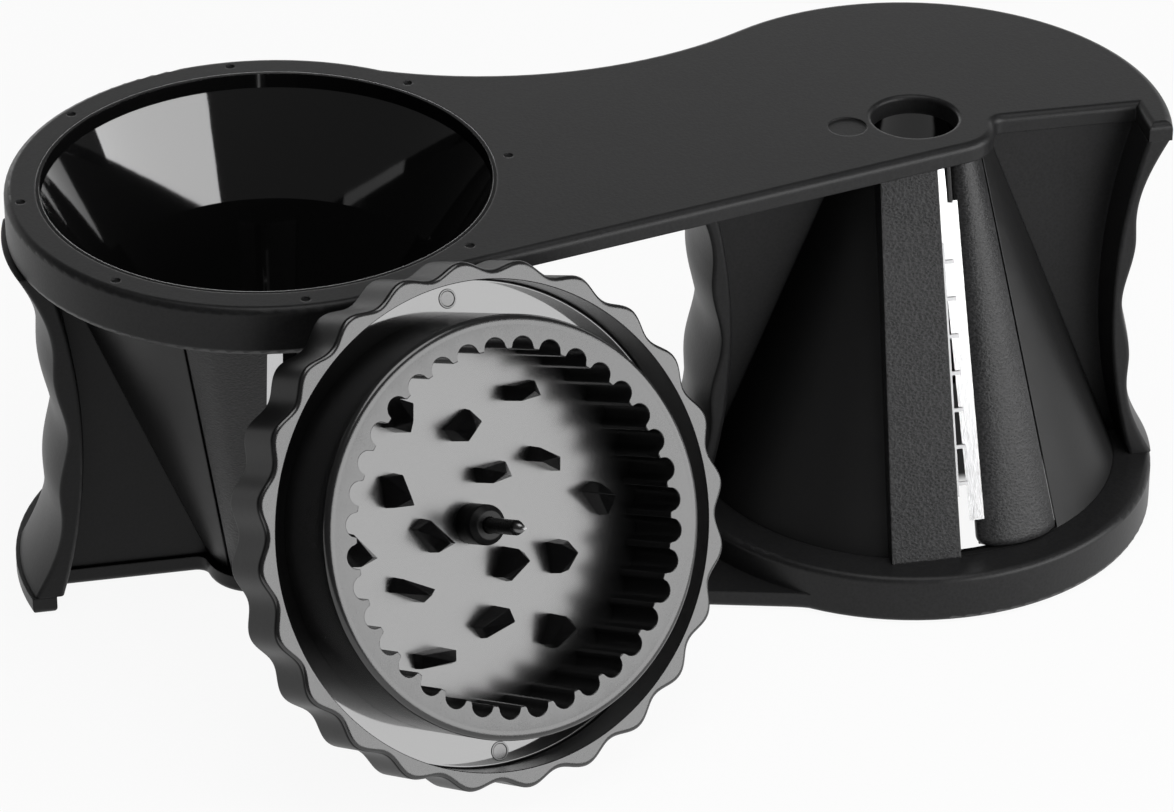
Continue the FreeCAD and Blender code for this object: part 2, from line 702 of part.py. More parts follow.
def blade(side):
    """Steel blade, narrow at its top, open below where the slices leave."""
    body = new_body(side + "_blade")
    foot = size("ring_height") + size("blade_gap")
    level_loft(body, side + "_blade_plate", blade_corners, foot, THROAT)
    doc.recompute()
    whole = body.Shape.Volume
    reach = size("blade_root") * 3
    primitive(body, "SubtractiveBox", side + "_blade_notch",
              place=(size("tang_reach"), -size("mouth_radius"), THROAT - size("tang_height")),
              Length=reach, Width=size("mouth_radius"), Height=size("tang_height") + 1)
    cut_checked(body, whole, "blade notch")
    place_unit(body, side)
    return body


def primitive_cone(name, extra):
    """Cone that follows the funnel's outside, extra further out, from ring to throat."""
    cone = doc.addObject("Part::Cone", name)
    bind(cone, "Radius1", outer_radius(size("ring_height")) + extra)
    bind(cone, "Radius2", outer_radius(THROAT) + extra)
    bind(cone, "Height", THROAT - size("ring_height"))
    bind(cone, "Placement.Base.z", size("ring_height"))
    return cone


def rib(side, blade_body):
    """Rounded rib that carries the blade; it closes the other half of the window."""
    outer = primitive_cone(side + "_rib_outside", size("rib_rise"))
    inner = primitive_cone(side + "_rib_inside", -size("funnel_wall"))
    shell = doc.addObject("Part::Cut", side + "_rib_shell")
    shell.Base = outer
    shell.Tool = inner
    outline_body = new_body(side + "_rib_outline")
    ring = size("ring_height")
    sketch = polygon(outline_body, side + "_rib_front", "XZ_Plane", [
        (size("rib_foot"), ring),
        (size("seam_foot") - size("seam_gap"), ring),
        (size("seam_head") - size("seam_gap"), THROAT),
        (size("rib_head"), THROAT)])
    front = outline_body.newObject("PartDesign::Pad", side + "_rib_block")
    front.Profile = sketch
    bind(front, "Length", size("mouth_radius") * 2)
    doc.recompute()
    if outline_body.Shape.BoundBox.YMin > -1:
        front.Reversed = not front.Reversed
    piece = doc.addObject("Part::Common", side + "_rib_piece")
    piece.Base = shell
    piece.Tool = outline_body
    doc.recompute()
    rounded = doc.addObject("Part::Fillet", side + "_rib_rounded")
    rounded.Base = piece
    edges = [number for number, edge in enumerate(piece.Shape.Edges, start=1) if rib_edge(edge)]
    rounded.Edges = [(number, plain("rib_round"), plain("rib_round")) for number in edges]
    doc.recompute()
    label = side + "_blade_rib"
    item = doc.addObject("Part::Feature", label)
    item.Label = label
    slot = blade_body.Shape.copy()
    slot.Placement = Placement()
    item.Shape = rounded.Shape.cut(slot).cut(rib_toe())
    place_unit(item, side)
    return item


def rib_toe():
    """Wedge taken off the rib's foot beside the slot."""
    foot, ring, toe = plain("rib_foot") - 1, plain("ring_height"), plain("rib_toe")
    rise = plain("rib_toe_gap")
    corners = [
        Vector(foot, 0, ring - 1),
        Vector(plain("seam_foot"), 0, ring - 1),
        Vector(plain("seam_foot"), 0, ring),
        Vector(foot + 1 + toe, 0, ring + rise),
        Vector(foot + 1, 0, ring + rise + toe),
        Vector(foot, 0, ring + rise + toe)]
    wedge = Part.Face(Part.makePolygon(corners + corners[:1]))
    return wedge.extrude(Vector(0, -plain("mouth_radius") * 2, 0))


def rib_edge(edge):
    """The outer edge of the rib along the blade."""
    box = edge.BoundBox
    left = box.XMin < plain("rib_foot") + 0.01 and box.XMax < plain("rib_foot") + 0.01
    tall = box.ZLength > 40
    outside = box.YMin < -(outer_radius(size("ring_height")).value - 0.5)
    return left and tall and outside


def cone_tilt():
    """The funnel's half angle, in degrees."""
    return math.degrees(math.atan(FUNNEL_SLOPE.value))


def comb(side):
    """Toothed steel strip beside the blade that cuts slices into strings."""
    body = new_body(side + "_comb")
    reach = size("tooth_pitch") * (size("tooth_count") - 1)
    primitive(body, "AdditiveBox", side + "_comb_strip",
              Length=size("comb_width"), Width=size("comb_depth"),
              Height=size("comb_start") + reach + size("tooth_width") + size("comb_tail"))
    tooth = primitive(body, "AdditiveBox", side + "_comb_tooth", place=(0, 0, size("comb_start")),
                      Length=size("blade_foot") - size("ramp_edge"), Width=size("comb_depth"),
                      Height=size("tooth_width"))
    row = body.newObject("PartDesign::LinearPattern", side + "_comb_teeth")
    row.Originals = [tooth]
    row.Direction = (origin_plane(body, "Z_Axis"), [""])
    bind(row, "Length", reach)
    bind(row, "Occurrences", size("tooth_count"))
    body.Tip = row
    foot = size("ring_height") + size("comb_margin")
    depth = outer_radius(foot) - size("blade_inset") + size("comb_depth") + size("comb_clear")
    place_unit(body, side, size("ramp_edge") + 0.02, -depth, foot, -cone_tilt())
    return body


def clip(side):
    """Small clip beside the blade's narrow top."""
    body = new_body(side + "_blade_clip")
    foot = THROAT - size("tang_height")

    def corners(height):
        face = -(outer_radius(height) - size("blade_inset") + 0.4)
        left = size("tang_reach") + 0.05
        return [
            (left, face),
            (left + size("clip_width"), face),
            (left + size("clip_width"), face + size("funnel_wall") - 0.5),
            (left, face + size("funnel_wall") - 0.5)]

    level_loft(body, side + "_clip", corners, foot, THROAT)
    place_unit(body, side)
    return body


# ---------------------------------------------------------------- holder cap

DISC = size("disc_thickness")
RIM = size("skirt_depth")
SPIKE_TURN = 30.8


def lobed_wire(height):
    """Outer edge of the skirt: an even wave of lobes."""
    count = int(plain("lobe_count"))
    middle = plain("lobe_radius") - plain("lobe_depth") / 2
    wave = plain("lobe_depth") / 2
    points = []
    for step in range(count * 4):
        angle = 2 * math.pi * step / (count * 4)
        radius = middle + wave * math.cos(count * (angle - math.radians(plain("lobe_phase"))))
        points.append(Vector(radius * math.cos(angle), radius * math.sin(angle), height))
    curve = Part.BSplineCurve()
    curve.interpolate(points, PeriodicFlag=True)
    return Part.Wire([curve.toShape()])


def holder_cap():
    """Disc with the lobed skirt that the hand turns."""
    solid = Part.Face(lobed_wire(0)).extrude(Vector(0, 0, RIM.value))
    back = [edge for edge in solid.Edges if abs(edge.BoundBox.ZMax) < 1e-3]
    solid = solid.makeFillet(plain("skirt_round"), back)
    front = [edge for edge in solid.Edges if abs(edge.BoundBox.ZMin - RIM.value) < 1e-3]
    solid = solid.makeFillet(plain("skirt_round") / 2, front)
    hollow = Part.makeCylinder(plain("skirt_bore"), RIM.value, Vector(0, 0, DISC.value))
    item = doc.addObject("Part::Feature", "holder_cap")
    item.Shape = solid.cut(hollow)
    return item


def holder_cup():
    """Fluted wall that grips the vegetable's end."""
    body = new_body("holder_cup")
    section = polygon(body, "cup_section", "XZ_Plane", [
        (size("cup_bore"), DISC),
        (size("cup_radius"), DISC),
        (size("cup_radius"), DISC + size("cup_height")),
        (size("cup_bore"), DISC + size("cup_height"))])
    turned(body, "Revolution", "cup_wall", section)
    fillet(body, "cup_rim", size("cup_round"),
           level_edge(DISC + size("cup_height"), least_radius=plain("cup_radius") - 0.1))
    doc.recompute()
    whole = body.Shape.Volume
    angle = math.radians(plain("flute_phase"))
    flute = primitive(body, "SubtractiveCylinder", "flute",
                      place=(size("cup_bore") * math.cos(angle), size("cup_bore") * math.sin(angle), DISC),
                      Radius=size("flute_radius"), Height=size("cup_height") + 1)
    flutes = body.newObject("PartDesign::PolarPattern", "flutes")
    flutes.Originals = [flute]
    flutes.Axis = (section, ["V_Axis"])
    flutes.Angle = 360
    bind(flutes, "Occurrences", size("flute_count"))
    body.Tip = flutes
    cut_checked(body, whole, "flutes")
    return body


def spike(circle, angle):
    """One spike on a circle round the post: a drafted column whose four faces rise to a point."""
    long, wide, draft = plain("spike_length") / 2, plain("spike_width") / 2, plain("spike_draft")
    corners = ((-wide, -long), (wide, -long), (wide, long), (-wide, long))
    heights = [plain("spike_" + name) for name in ("shoulder", "toe", "shoulder", "edge")]
    foot = [Vector(x, y, 0) for x, y in corners]
    top = [Vector(x * draft, y * draft, z) for (x, y), z in zip(corners, heights)]
    point = Vector(plain("spike_across"), plain("spike_ahead"), plain("spike_height"))
    outlines = [foot]
    for near, far in ((0, 1), (1, 2), (2, 3), (3, 0)):
        high, low = (near, far) if heights[near] > heights[far] else (far, near)
        outlines.append([foot[low], foot[high], top[high]])
        outlines.append([foot[low], top[high], top[low]])
        outlines.append([top[near], top[far], point])
    faces = [Part.Face(Part.makePolygon(outline + outline[:1])) for outline in outlines]
    solid = Part.makeSolid(Part.makeShell(faces))
    solid.rotate(Vector(0, 0, 0), Vector(0, 0, 1), SPIKE_TURN)
    solid.translate(Vector(circle, 0, DISC.value))
    solid.rotate(Vector(0, 0, 0), Vector(0, 0, 1), angle)
    return solid


def holder_spikes():
    """Spikes on three circles: three, six and six."""
    rings = (("inner_circle", 3, 55.6), ("middle_circle", 6, 24.0), ("outer_circle", 6, 53.6))
    spikes = []
    for circle, count, first in rings:
        for index in range(count):
            spikes.append(spike(plain(circle), first + 360.0 / count * index))
    item = doc.addObject("Part::Feature", "holder_spikes")
    item.Shape = Part.makeCompound(spikes)
    return item


def holder_post():
    """Post in the middle of the cup, bored for the pin."""
    body = new_body("holder_post")
    bore = size("pin_radius") + size("pin_clearance")
    top = DISC + size("post_height")
    section = polygon(body, "post_section", "XZ_Plane", [
        (0, DISC),
        (size("post_radius"), DISC),
        (size("post_radius"), top - size("post_bevel")),
        (size("post_radius") - size("post_bevel"), top),
        (bore, top),
        (bore, DISC + size("pin_seat")),
        (0, DISC + size("pin_seat"))])
    turned(body, "Revolution", "post_turned", section)
    return body


def holder_pin():
    """Steel pin that centres the vegetable; it stands in the post's bore."""
    body = new_body("holder_pin")
    foot = DISC + size("pin_seat") + size("pin_clearance")
    tip = DISC + size("pin_reach")
    section = polygon(body, "pin_section", "XZ_Plane", [
        (0, foot),
        (size("pin_radius"), foot),
        (size("pin_radius"), tip - size("pin_point")),
        (0, tip)])
    turned(body, "Revolution", "pin_turned", section)
    return body


def place_holder(cap, others, body_top):
    """Stands the cap on the table, open side to the front, leaning on the upper deck."""
    turn, lean = math.radians(plain("cap_turn")), math.radians(plain("cap_lean"))
    axis = Vector(math.sin(turn) * math.cos(lean), -math.cos(turn) * math.cos(lean), math.sin(lean))
    across = Vector(0, 0, 1).cross(axis).normalize()
    rotation = Rotation(across, axis.cross(across), axis, "ZXY")
    cap.Placement = Placement(Vector(0, 0, 0), rotation)
    rise = plain("cap_rise") - cap.Shape.optimalBoundingBox(True, False).ZMin
    place = Vector(plain("cap_across") - axis.x * RIM.value, -plain("ring_radius") * 1.7, rise)
    for _ in range(4):
        cap.Placement = Placement(place, rotation)
        gap = cap.Shape.distToShape(body_top.Shape)[0]
        place = place + Vector(0, gap - plain("cap_gap"), 0)
    cap.Placement = Placement(place, rotation)
    for item in others:
        item.Placement = cap.Placement
    return axis


# ---------------------------------------------------------------- build

nodes = []
for unit in UNITS:
    nodes.append(deck(unit))
    nodes.append(funnel(unit))
    nodes.append(grip(unit, outward=True))
    nodes.append(grip(unit, outward=False))
    nodes.append(ramp(unit))
    knife = blade(unit)
    nodes.append(knife)
    nodes.append(rib(unit, knife))
    nodes.append(comb(unit))
    nodes.append(clip(unit))
doc.recompute()
upper_deck = next(item for item in nodes if item.Label == "upper_deck")

skirt = holder_cap()
inside_skirt = [holder_cup(), holder_spikes(), holder_post(), holder_pin()]
doc.recompute()
holder_axis = place_holder(skirt, inside_skirt, upper_deck)
nodes += [skirt] + inside_skirt
doc.recompute()

for item in doc.Objects:
    if "Invalid" in item.State or "Error" in item.State:
        raise RuntimeError("{} failed: {}".format(item.Label, item.State))
for item in nodes:
    if item.Shape.isNull() or not item.Shape.isValid():
        raise RuntimeError(item.Label + " has no valid shape")

os.makedirs("parts", exist_ok=True)
for item in nodes:
    item.Shape.exportStep("parts/{}.step".format(item.Label))
    box = item.Shape.BoundBox
    print("{:20s} {:9.1f} mm3  x {:7.2f} {:7.2f}  y {:7.2f} {:7.2f}  z {:6.2f} {:6.2f}".format(
        item.Label, item.Shape.Volume, box.XMin, box.XMax, box.YMin, box.YMax, box.ZMin, box.ZMax))
print("holder axis", holder_axis, "at", skirt.Placement.Base)
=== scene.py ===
"""Looks of a two-funnel hand spiralizer and its loose holder cap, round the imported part.

Metres, +Z up, origin at the middle of the body on the table. Each slicing unit is described in
its own frame: origin on the funnel's axis in the plane of its mouth, +Z from mouth to throat and
the blade at -Y. The right unit stands mouth down; the left one is turned half round the Y axis.
"""
import logging
import math
from dataclasses import dataclass
from enum import Enum
from typing import Iterable, Sequence, Union

import bmesh
import bpy
import numpy as np
from mathutils import Matrix, Vector


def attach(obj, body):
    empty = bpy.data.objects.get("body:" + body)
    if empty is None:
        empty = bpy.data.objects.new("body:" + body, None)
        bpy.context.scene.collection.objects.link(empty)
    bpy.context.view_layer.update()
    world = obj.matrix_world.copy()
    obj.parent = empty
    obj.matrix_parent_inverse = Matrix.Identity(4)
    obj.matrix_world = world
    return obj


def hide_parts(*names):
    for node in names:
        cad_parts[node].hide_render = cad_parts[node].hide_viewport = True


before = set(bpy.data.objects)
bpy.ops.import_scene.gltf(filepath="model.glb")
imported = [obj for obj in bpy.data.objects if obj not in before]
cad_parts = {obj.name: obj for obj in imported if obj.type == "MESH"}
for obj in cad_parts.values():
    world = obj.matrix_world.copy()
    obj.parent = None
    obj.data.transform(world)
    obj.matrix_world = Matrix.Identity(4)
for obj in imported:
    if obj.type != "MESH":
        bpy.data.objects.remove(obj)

LOG = logging.getLogger("spiralizer")
MM = 0.001
NOISE_MIDDLE = 0.5
NIL = 1e-9
NEARLY_ONE = 0.999
EDGE_SAMPLES = 4
MIX_COLOURS = (6, 7)  # a Mix node's colour inputs; their names repeat
MIX_RESULT = 2
Array = np.ndarray
Pair = tuple[float, float]
Triple = tuple[float, float, float]
Four = tuple[float, float, float, float]
Number = Union[float, "Socket"]


# ---------------- shader maths

class Socket:
    """One output of a shader node; arithmetic on it adds Math nodes."""

    def __init__(self, tree: "ShaderTree", link: bpy.types.NodeSocket) -> None:
        """Keeps the tree and the output."""
        self.tree = tree
        self.link = link

    def _math(self, operation: str, first: Number, second: Number) -> "Socket":
        """Adds a Math node.

        Args:
            operation: the Math node's operation.
            first: its first value or link.
            second: its second value or link.

        Returns:
            The node's output.
        """
        return self.tree.node("ShaderNodeMath", {"operation": operation}, {0: first, 1: second})

    def __add__(self, other: Number) -> "Socket":
        """Sum."""
        return self._math("ADD", self, other)

    def __radd__(self, other: Number) -> "Socket":
        """Sum, reflected."""
        return self._math("ADD", other, self)

    def __sub__(self, other: Number) -> "Socket":
        """Difference."""
        return self._math("SUBTRACT", self, other)

    def __rsub__(self, other: Number) -> "Socket":
        """Difference, reflected."""
        return self._math("SUBTRACT", other, self)

    def __mul__(self, other: Number) -> "Socket":
        """Product."""
        return self._math("MULTIPLY", self, other)

    def part(self, axis: str) -> "Socket":
        """One component, X, Y or Z, of a vector."""
        return self.tree.node("ShaderNodeSeparateXYZ", {}, {0: self}, axis)

    def length(self) -> "Socket":
        """Length of a vector."""
        return self.tree.node("ShaderNodeVectorMath", {"operation": "LENGTH"}, {0: self}, "Value")

    def band(self, low: float, high: float) -> "Socket":
        """Smooth step.

        Args:
            low: value where the result is 0.
            high: value where the result is 1.

        Returns:
            0 below low, 1 above high and a smooth curve between.
        """
        return self.tree.node(
            "ShaderNodeMapRange", {"interpolation_type": "SMOOTHSTEP"},
            {"Value": self, "From Min": low, "From Max": high, "To Min": 0.0, "To Max": 1.0})


class ShaderTree:
    """The node tree of one material."""

    def __init__(self, name: str, world: Union[bpy.types.World, None] = None) -> None:
        """Starts an empty material of that name, or empties a world's tree."""
        self.material = world or bpy.data.materials.new(name)
        self.material.use_nodes = True
        self.nodes = self.material.node_tree.nodes
        self.links = self.material.node_tree.links
        self.nodes.clear()

    def node(self, kind: str, settings: dict, inputs: dict,
             output: Union[int, str] = 0) -> Socket:
        """Adds any node.

        Args:
            kind: the node's type.
            settings: attributes set before the sockets.
            inputs: values or links by socket name or number.
            output: which output is returned.

        Returns:
            That output.
        """
        made = self.nodes.new(kind)
        for key, value in settings.items():
            setattr(made, key, value)
        for key, value in inputs.items():
            if isinstance(value, Socket):
                self.links.new(value.link, made.inputs[key])
            else:
                made.inputs[key].default_value = value
        return Socket(self, made.outputs[output])

    def place(self, stretch: Sequence[float] = (1.0, 1.0, 1.0),
              turn: Sequence[float] = (0.0, 0.0, 0.0),
              shift: Sequence[float] = (0.0, 0.0, 0.0)) -> Socket:
        """Object coordinates through a Mapping node.

        Args:
            stretch: scale along each axis.
            turn: rotation in radians about each axis.
            shift: added after the scale and the turn.

        Returns:
            The mapped vector.
        """
        raw = self.node("ShaderNodeTexCoord", {}, {}, "Object")
        return self.node("ShaderNodeMapping", {"vector_type": "POINT"},
                         {"Vector": raw, "Rotation": turn, "Scale": stretch, "Location": shift})

    def noise(self, where: Socket, size: float, detail: float = 2.0,
              rough: float = 0.5) -> Socket:
        """Noise from 0 to 1.

        Args:
            where: vector.
            size: size of one blotch in metres.
            detail: octaves.
            rough: weight of the finer octaves.

        Returns:
            The noise value.
        """
        return self.node("ShaderNodeTexNoise", {},
                         {"Vector": where, "Scale": 1.0 / size, "Detail": detail,
                          "Roughness": rough}, "Fac")

    def cells(self, where: Socket, size: float) -> Socket:
        """Distance to the nearest cell middle, cells of that size."""
        return self.node("ShaderNodeTexVoronoi", {},
                         {"Vector": where, "Scale": 1.0 / size}, "Distance")

    def shade(self, dark: float, light: float, amount: Socket,
              tint: Sequence[float] = (1.0, 1.0, 1.0)) -> Socket:
        """Mixes two greys of one tint.

        Args:
            dark: the grey where the amount is 0.
            light: the grey where it is 1.
            amount: how far to go.
            tint: factors of red, green and blue.

        Returns:
            The colour.
        """
        low, high = (tuple(grey * part for part in tint) + (1.0,) for grey in (dark, light))
        first, second = MIX_COLOURS
        return self.node("ShaderNodeMix", {"data_type": "RGBA"},
                         {"Factor": amount, first: low, second: high}, MIX_RESULT)

    def eased(self, radius: float) -> Socket:
        """Surface direction with every edge eased by that radius in metres."""
        return self.node("ShaderNodeBevel", {"samples": EDGE_SAMPLES}, {"Radius": radius},
                         "Normal")

    def bump(self, height: Socket, metres: float, below: Union[Socket, None] = None) -> Socket:
        """A Bump node over a height from 0 to 1.

        Args:
            height: the height.
            metres: how many metres a height of 1 stands for.
            below: the surface direction that it is added to.

        Returns:
            The new surface direction.
        """
        inputs = {"Height": height, "Distance": metres}
        if below is not None:
            inputs["Normal"] = below
        return self.node("ShaderNodeBump", {}, inputs)

    def finish(self, **sockets: object) -> bpy.types.Material:
        """Closes the tree with a Principled shader.

        Args:
            **sockets: the shader's inputs, with _ for each space in their names.

        Returns:
            The material.
        """
        inputs = {key.replace("_", " "): value for key, value in sockets.items()}
        shader = self.node("ShaderNodeBsdfPrincipled", {}, inputs)
        self.node_output(shader)
        return self.material

    def node_output(self, shader: Socket, kind: str = "ShaderNodeOutputMaterial") -> None:
        """Adds the output node, of a material or of the world, for a shader."""
        made = self.nodes.new(kind)
        self.links.new(shader.link, made.inputs["Surface"])


# ---------------- finishes

@dataclass(frozen=True)
class MouldedPlastic:
    """Black plastic as it leaves the mould.

    grain is the fine texture's size, grain_height its depth and stretch its shape; wave_height
    is the depth of a slow unevenness of size wave; scuffs is the share of hairline marks of size
    hair; edge is the easing of edges. blotch is the size of slow changes of shade, speck the size
    of coarser specks in grains. weights are the parts of grain, blotches and specks in the shade
    and relief the parts of grain and specks in the bump; octaves go with the size before them.
    """

    name: str
    dark: float
    light: float
    roughness: float
    roughness_change: float
    grain: float
    grain_height: float
    stretch: Triple = (1.0, 1.0, 1.0)
    wave_height: float = 0.0
    scuffs: float = 0.0
    edge: float = 0.00035
    specular: float = 0.3
    tint: Triple = (1.0, 1.0, 1.03)
    blotch: float = 0.014
    blotch_share: float = 0.6
    speck: float = 1.7
    weights: Triple = (0.55, 0.25, 0.3)
    contrast: Pair = (0.25, 0.8)
    relief: Pair = (0.7, 0.5)
    octaves: Pair = (3.0, 0.6)
    wave: float = 0.02
    wave_octaves: float = 1.0
    hair: float = 0.0005
    hair_octaves: Pair = (4.0, 0.7)
    hair_stretch: Triple = (1.0, 0.06, 0.2)
    hair_turn: Triple = (0.3, 0.2, 0.7)
    hair_band: Pair = (0.62, 0.75)

    def build(self) -> bpy.types.Material:
        """Makes the material: speckled grain, slow blotches, hairline scuffs, eased edges."""
        tree = ShaderTree(self.name)
        grain = tree.noise(tree.place(self.stretch), self.grain, *self.octaves)
        blotch = tree.noise(tree.place(), self.blotch)
        specks = tree.cells(tree.place(self.stretch), self.grain * self.speck)
        grain_part, blotch_part, speck_part = self.weights
        mix = grain * grain_part + blotch * blotch_part + specks * speck_part
        colour = tree.shade(self.dark, self.light, mix.band(*self.contrast), self.tint)
        rough = self.roughness + (grain - NOISE_MIDDLE) * self.roughness_change
        rough = rough + (blotch - NOISE_MIDDLE) * (self.roughness_change * self.blotch_share)
        normal = tree.eased(self.edge) if self.edge else None
        if self.wave_height:
            slow = tree.noise(tree.place(), self.wave, self.wave_octaves)
            normal = tree.bump(slow, self.wave_height, normal)
        grain_part, speck_part = self.relief
        height = grain * grain_part + specks * speck_part
        normal = tree.bump(height, self.grain_height, normal)
        if self.scuffs:
            where = tree.place(self.hair_stretch, self.hair_turn)
            hair = tree.noise(where, self.hair, *self.hair_octaves)
            rough = rough + hair.band(*self.hair_band) * self.scuffs
        return tree.finish(Base_Color=colour, Roughness=rough, Normal=normal,
                           Specular_IOR_Level=self.specular)


@dataclass(frozen=True)
class ConePlastic:
    """Black plastic of one funnel: polished on its inner cone, satin everywhere else.

    across and level give the middle of the mouth and up the way from mouth to throat. The cone
    that the polish is measured from has radius mouth there and narrows by slope for each metre;
    skin is how far behind it the polish ends. Deep in the funnel the clear coat fades out over a
    band of rise, a painted shade that dims its reflections there.
    """

    name: str
    across: float
    level: float
    up: float
    mouth: float = 0.0363
    slope: float = 0.3938
    skin: Pair = (0.0012, 0.0018)
    # painted shade: the band of rise over which the clear coat fades out deep in the funnel
    painted_shade_rise: Pair = (0.045, 0.060)
    dark: float = 0.004
    light: float = 0.010
    tint: Triple = (1.0, 1.0, 1.02)
    polish: float = 0.05
    satin: float = 0.42
    satin_change: float = 0.1
    grain: float = 0.0004
    grain_height: float = 0.000014
    grain_share: float = 0.5
    octaves: Pair = (3.0, 0.6)
    wave: float = 0.012
    wave_height: float = 0.00005
    edge: float = 0.0003
    specular: float = 0.22
    coat_index: float = 1.6

    def build(self) -> bpy.types.Material:
        """Makes the material; the distance from the inner cone picks a clear polish or satin."""
        tree = ShaderTree(self.name)
        flat = tree.place((1.0, 1.0, 0.0), shift=(-self.across, 0.0, 0.0))
        rise = (tree.place().part("Z") - self.level) * self.up
        outside = (flat.length() - (self.mouth - rise * self.slope)).band(*self.skin)
        grain = tree.noise(tree.place(), self.grain, *self.octaves)
        slow = tree.noise(tree.place(), self.wave)
        mix = outside * (1 - self.grain_share + grain * self.grain_share)
        colour = tree.shade(self.dark, self.light, mix, self.tint)
        change = (grain - NOISE_MIDDLE) * self.satin_change
        rough = self.polish + outside * (self.satin - self.polish + change)
        normal = tree.bump(slow, self.wave_height, tree.eased(self.edge))
        normal = tree.bump(grain * outside, self.grain_height, normal)
        # painted shade: the clear coat fades out deep in the funnel, dimming its reflections
        # there
        return tree.finish(Base_Color=colour, Roughness=rough, Normal=normal,
                           Specular_IOR_Level=self.specular,
                           Coat_Weight=(1 - outside) * (1 - rise.band(*self.painted_shade_rise)),
                           Coat_Roughness=self.polish, Coat_IOR=self.coat_index)


@dataclass(frozen=True)
class GroundSteel:
    """Bright steel with fine grinding lines of size line and slower stains of size stain."""

    name: str
    dark: float
    light: float
    roughness: float
    stretch: Triple
    line: float = 0.0004
    line_height: float = 0.000004
    octaves: Pair = (4.0, 0.65)
    stain: float = 0.006
    weights: Pair = (0.6, 0.4)
    roughness_changes: Pair = (0.12, 0.06)
    tint: Triple = (1.0, 1.0, 1.01)

    def build(self) -> bpy.types.Material:
        """Makes the material: stretched noise drives colour, roughness and a faint bump."""
        tree = ShaderTree(self.name)
        lines = tree.noise(tree.place(self.stretch), self.line, *self.octaves)
        stain = tree.noise(tree.place(), self.stain)
        line_part, stain_part = self.weights
        mix = lines * line_part + stain * stain_part
        colour = tree.shade(self.dark, self.light, mix, self.tint)
        line_part, stain_part = self.roughness_changes
        rough = self.roughness + (lines - NOISE_MIDDLE) * line_part
        rough = rough + (stain - NOISE_MIDDLE) * stain_part
        return tree.finish(Base_Color=colour, Metallic=1.0, Roughness=rough,
                           Normal=tree.bump(lines, self.line_height))


class Finish(Enum):
    """The finishes of this tool."""

    DECK = MouldedPlastic("satin_deck", 0.008, 0.015, 0.40, 0.10, 0.00035, 0.000012,
                          specular=0.22)
    GRIP = MouldedPlastic("satin_grip", 0.008, 0.015, 0.42, 0.10, 0.00035, 0.000014,
                          specular=0.2)
    GRAINED = MouldedPlastic("grained_ramp", 0.004, 0.032, 0.38, 0.25, 0.00034, 0.000080,
                             (1.0, 1.0, 1.4), specular=0.22)
    RIGHT_CONE = ConePlastic("right_cone", 0.0536, 0.0, 1.0)
    LEFT_CONE = ConePlastic("left_cone", -0.0536, 0.0715, -1.0)
    HOLDER = MouldedPlastic("holder_gloss", 0.005, 0.009, 0.22, 0.06, 0.0005, 0.000002,
                            wave_height=0.00001, scuffs=0.05, edge=0.0, specular=0.85)
    GROOVE = MouldedPlastic("holder_polish", 0.005, 0.007, 0.05, 0.02, 0.0008, 0.0000004,
                            wave_height=0.00001, scuffs=0.04, edge=0.0, specular=1.0)
    RIM = MouldedPlastic("holder_rim", 0.005, 0.010, 0.26, 0.10, 0.0004, 0.000005,
                         wave_height=0.00001, scuffs=0.05, edge=0.0, specular=0.66)
    OUTER = MouldedPlastic("holder_satin", 0.004, 0.008, 0.38, 0.08, 0.0005, 0.000006,
                           wave_height=0.00001, scuffs=0.05, edge=0.0, specular=0.14)
    BLADE = GroundSteel("blade_steel", 0.52, 0.62, 0.17, (1.0, 1.0, 0.04))
    COMB = GroundSteel("comb_steel", 0.25, 0.45, 0.35, (1.0, 0.2, 1.0))
    PIN = GroundSteel("pin_steel", 0.10, 0.20, 0.28, (1.0, 1.0, 1.0))


class Finishes:
    """Builds each finish once."""

    def __init__(self) -> None:
        """Starts with no material made."""
        self.made: dict[Finish, bpy.types.Material] = {}

    def get(self, finish: Finish) -> bpy.types.Material:
        """The material of a finish."""
        if finish not in self.made:
            self.made[finish] = finish.value.build()
        return self.made[finish]


# ---------------- carried-over nodes

@dataclass
class CarriedNodes:
    """CAD nodes whose shape is right; each gets its finish."""

    finishes: Finishes

    def dress(self) -> None:
        """Assigns a finish to every node of the body."""
        for name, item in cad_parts.items():
            if not name.startswith("holder") and not name.endswith(("rib", "blade")):
                item.data.materials.clear()
                item.data.materials.append(self.finishes.get(self.finish_of(name)))
                LOG.info("%s keeps its CAD shape", name)

    @staticmethod
    def finish_of(name: str) -> Finish:
        """The finish of a node, by its side and the last word of its name."""
        side, last = name.split("_")[0], name.split("_")[-1]
        cone = Finish.RIGHT_CONE if side == "right" else Finish.LEFT_CONE
        return {"deck": Finish.DECK, "grip": Finish.GRIP, "ramp": Finish.GRAINED,
                "funnel": cone, "comb": Finish.COMB, "clip": Finish.DECK}[last]


# ---------------- surfaces

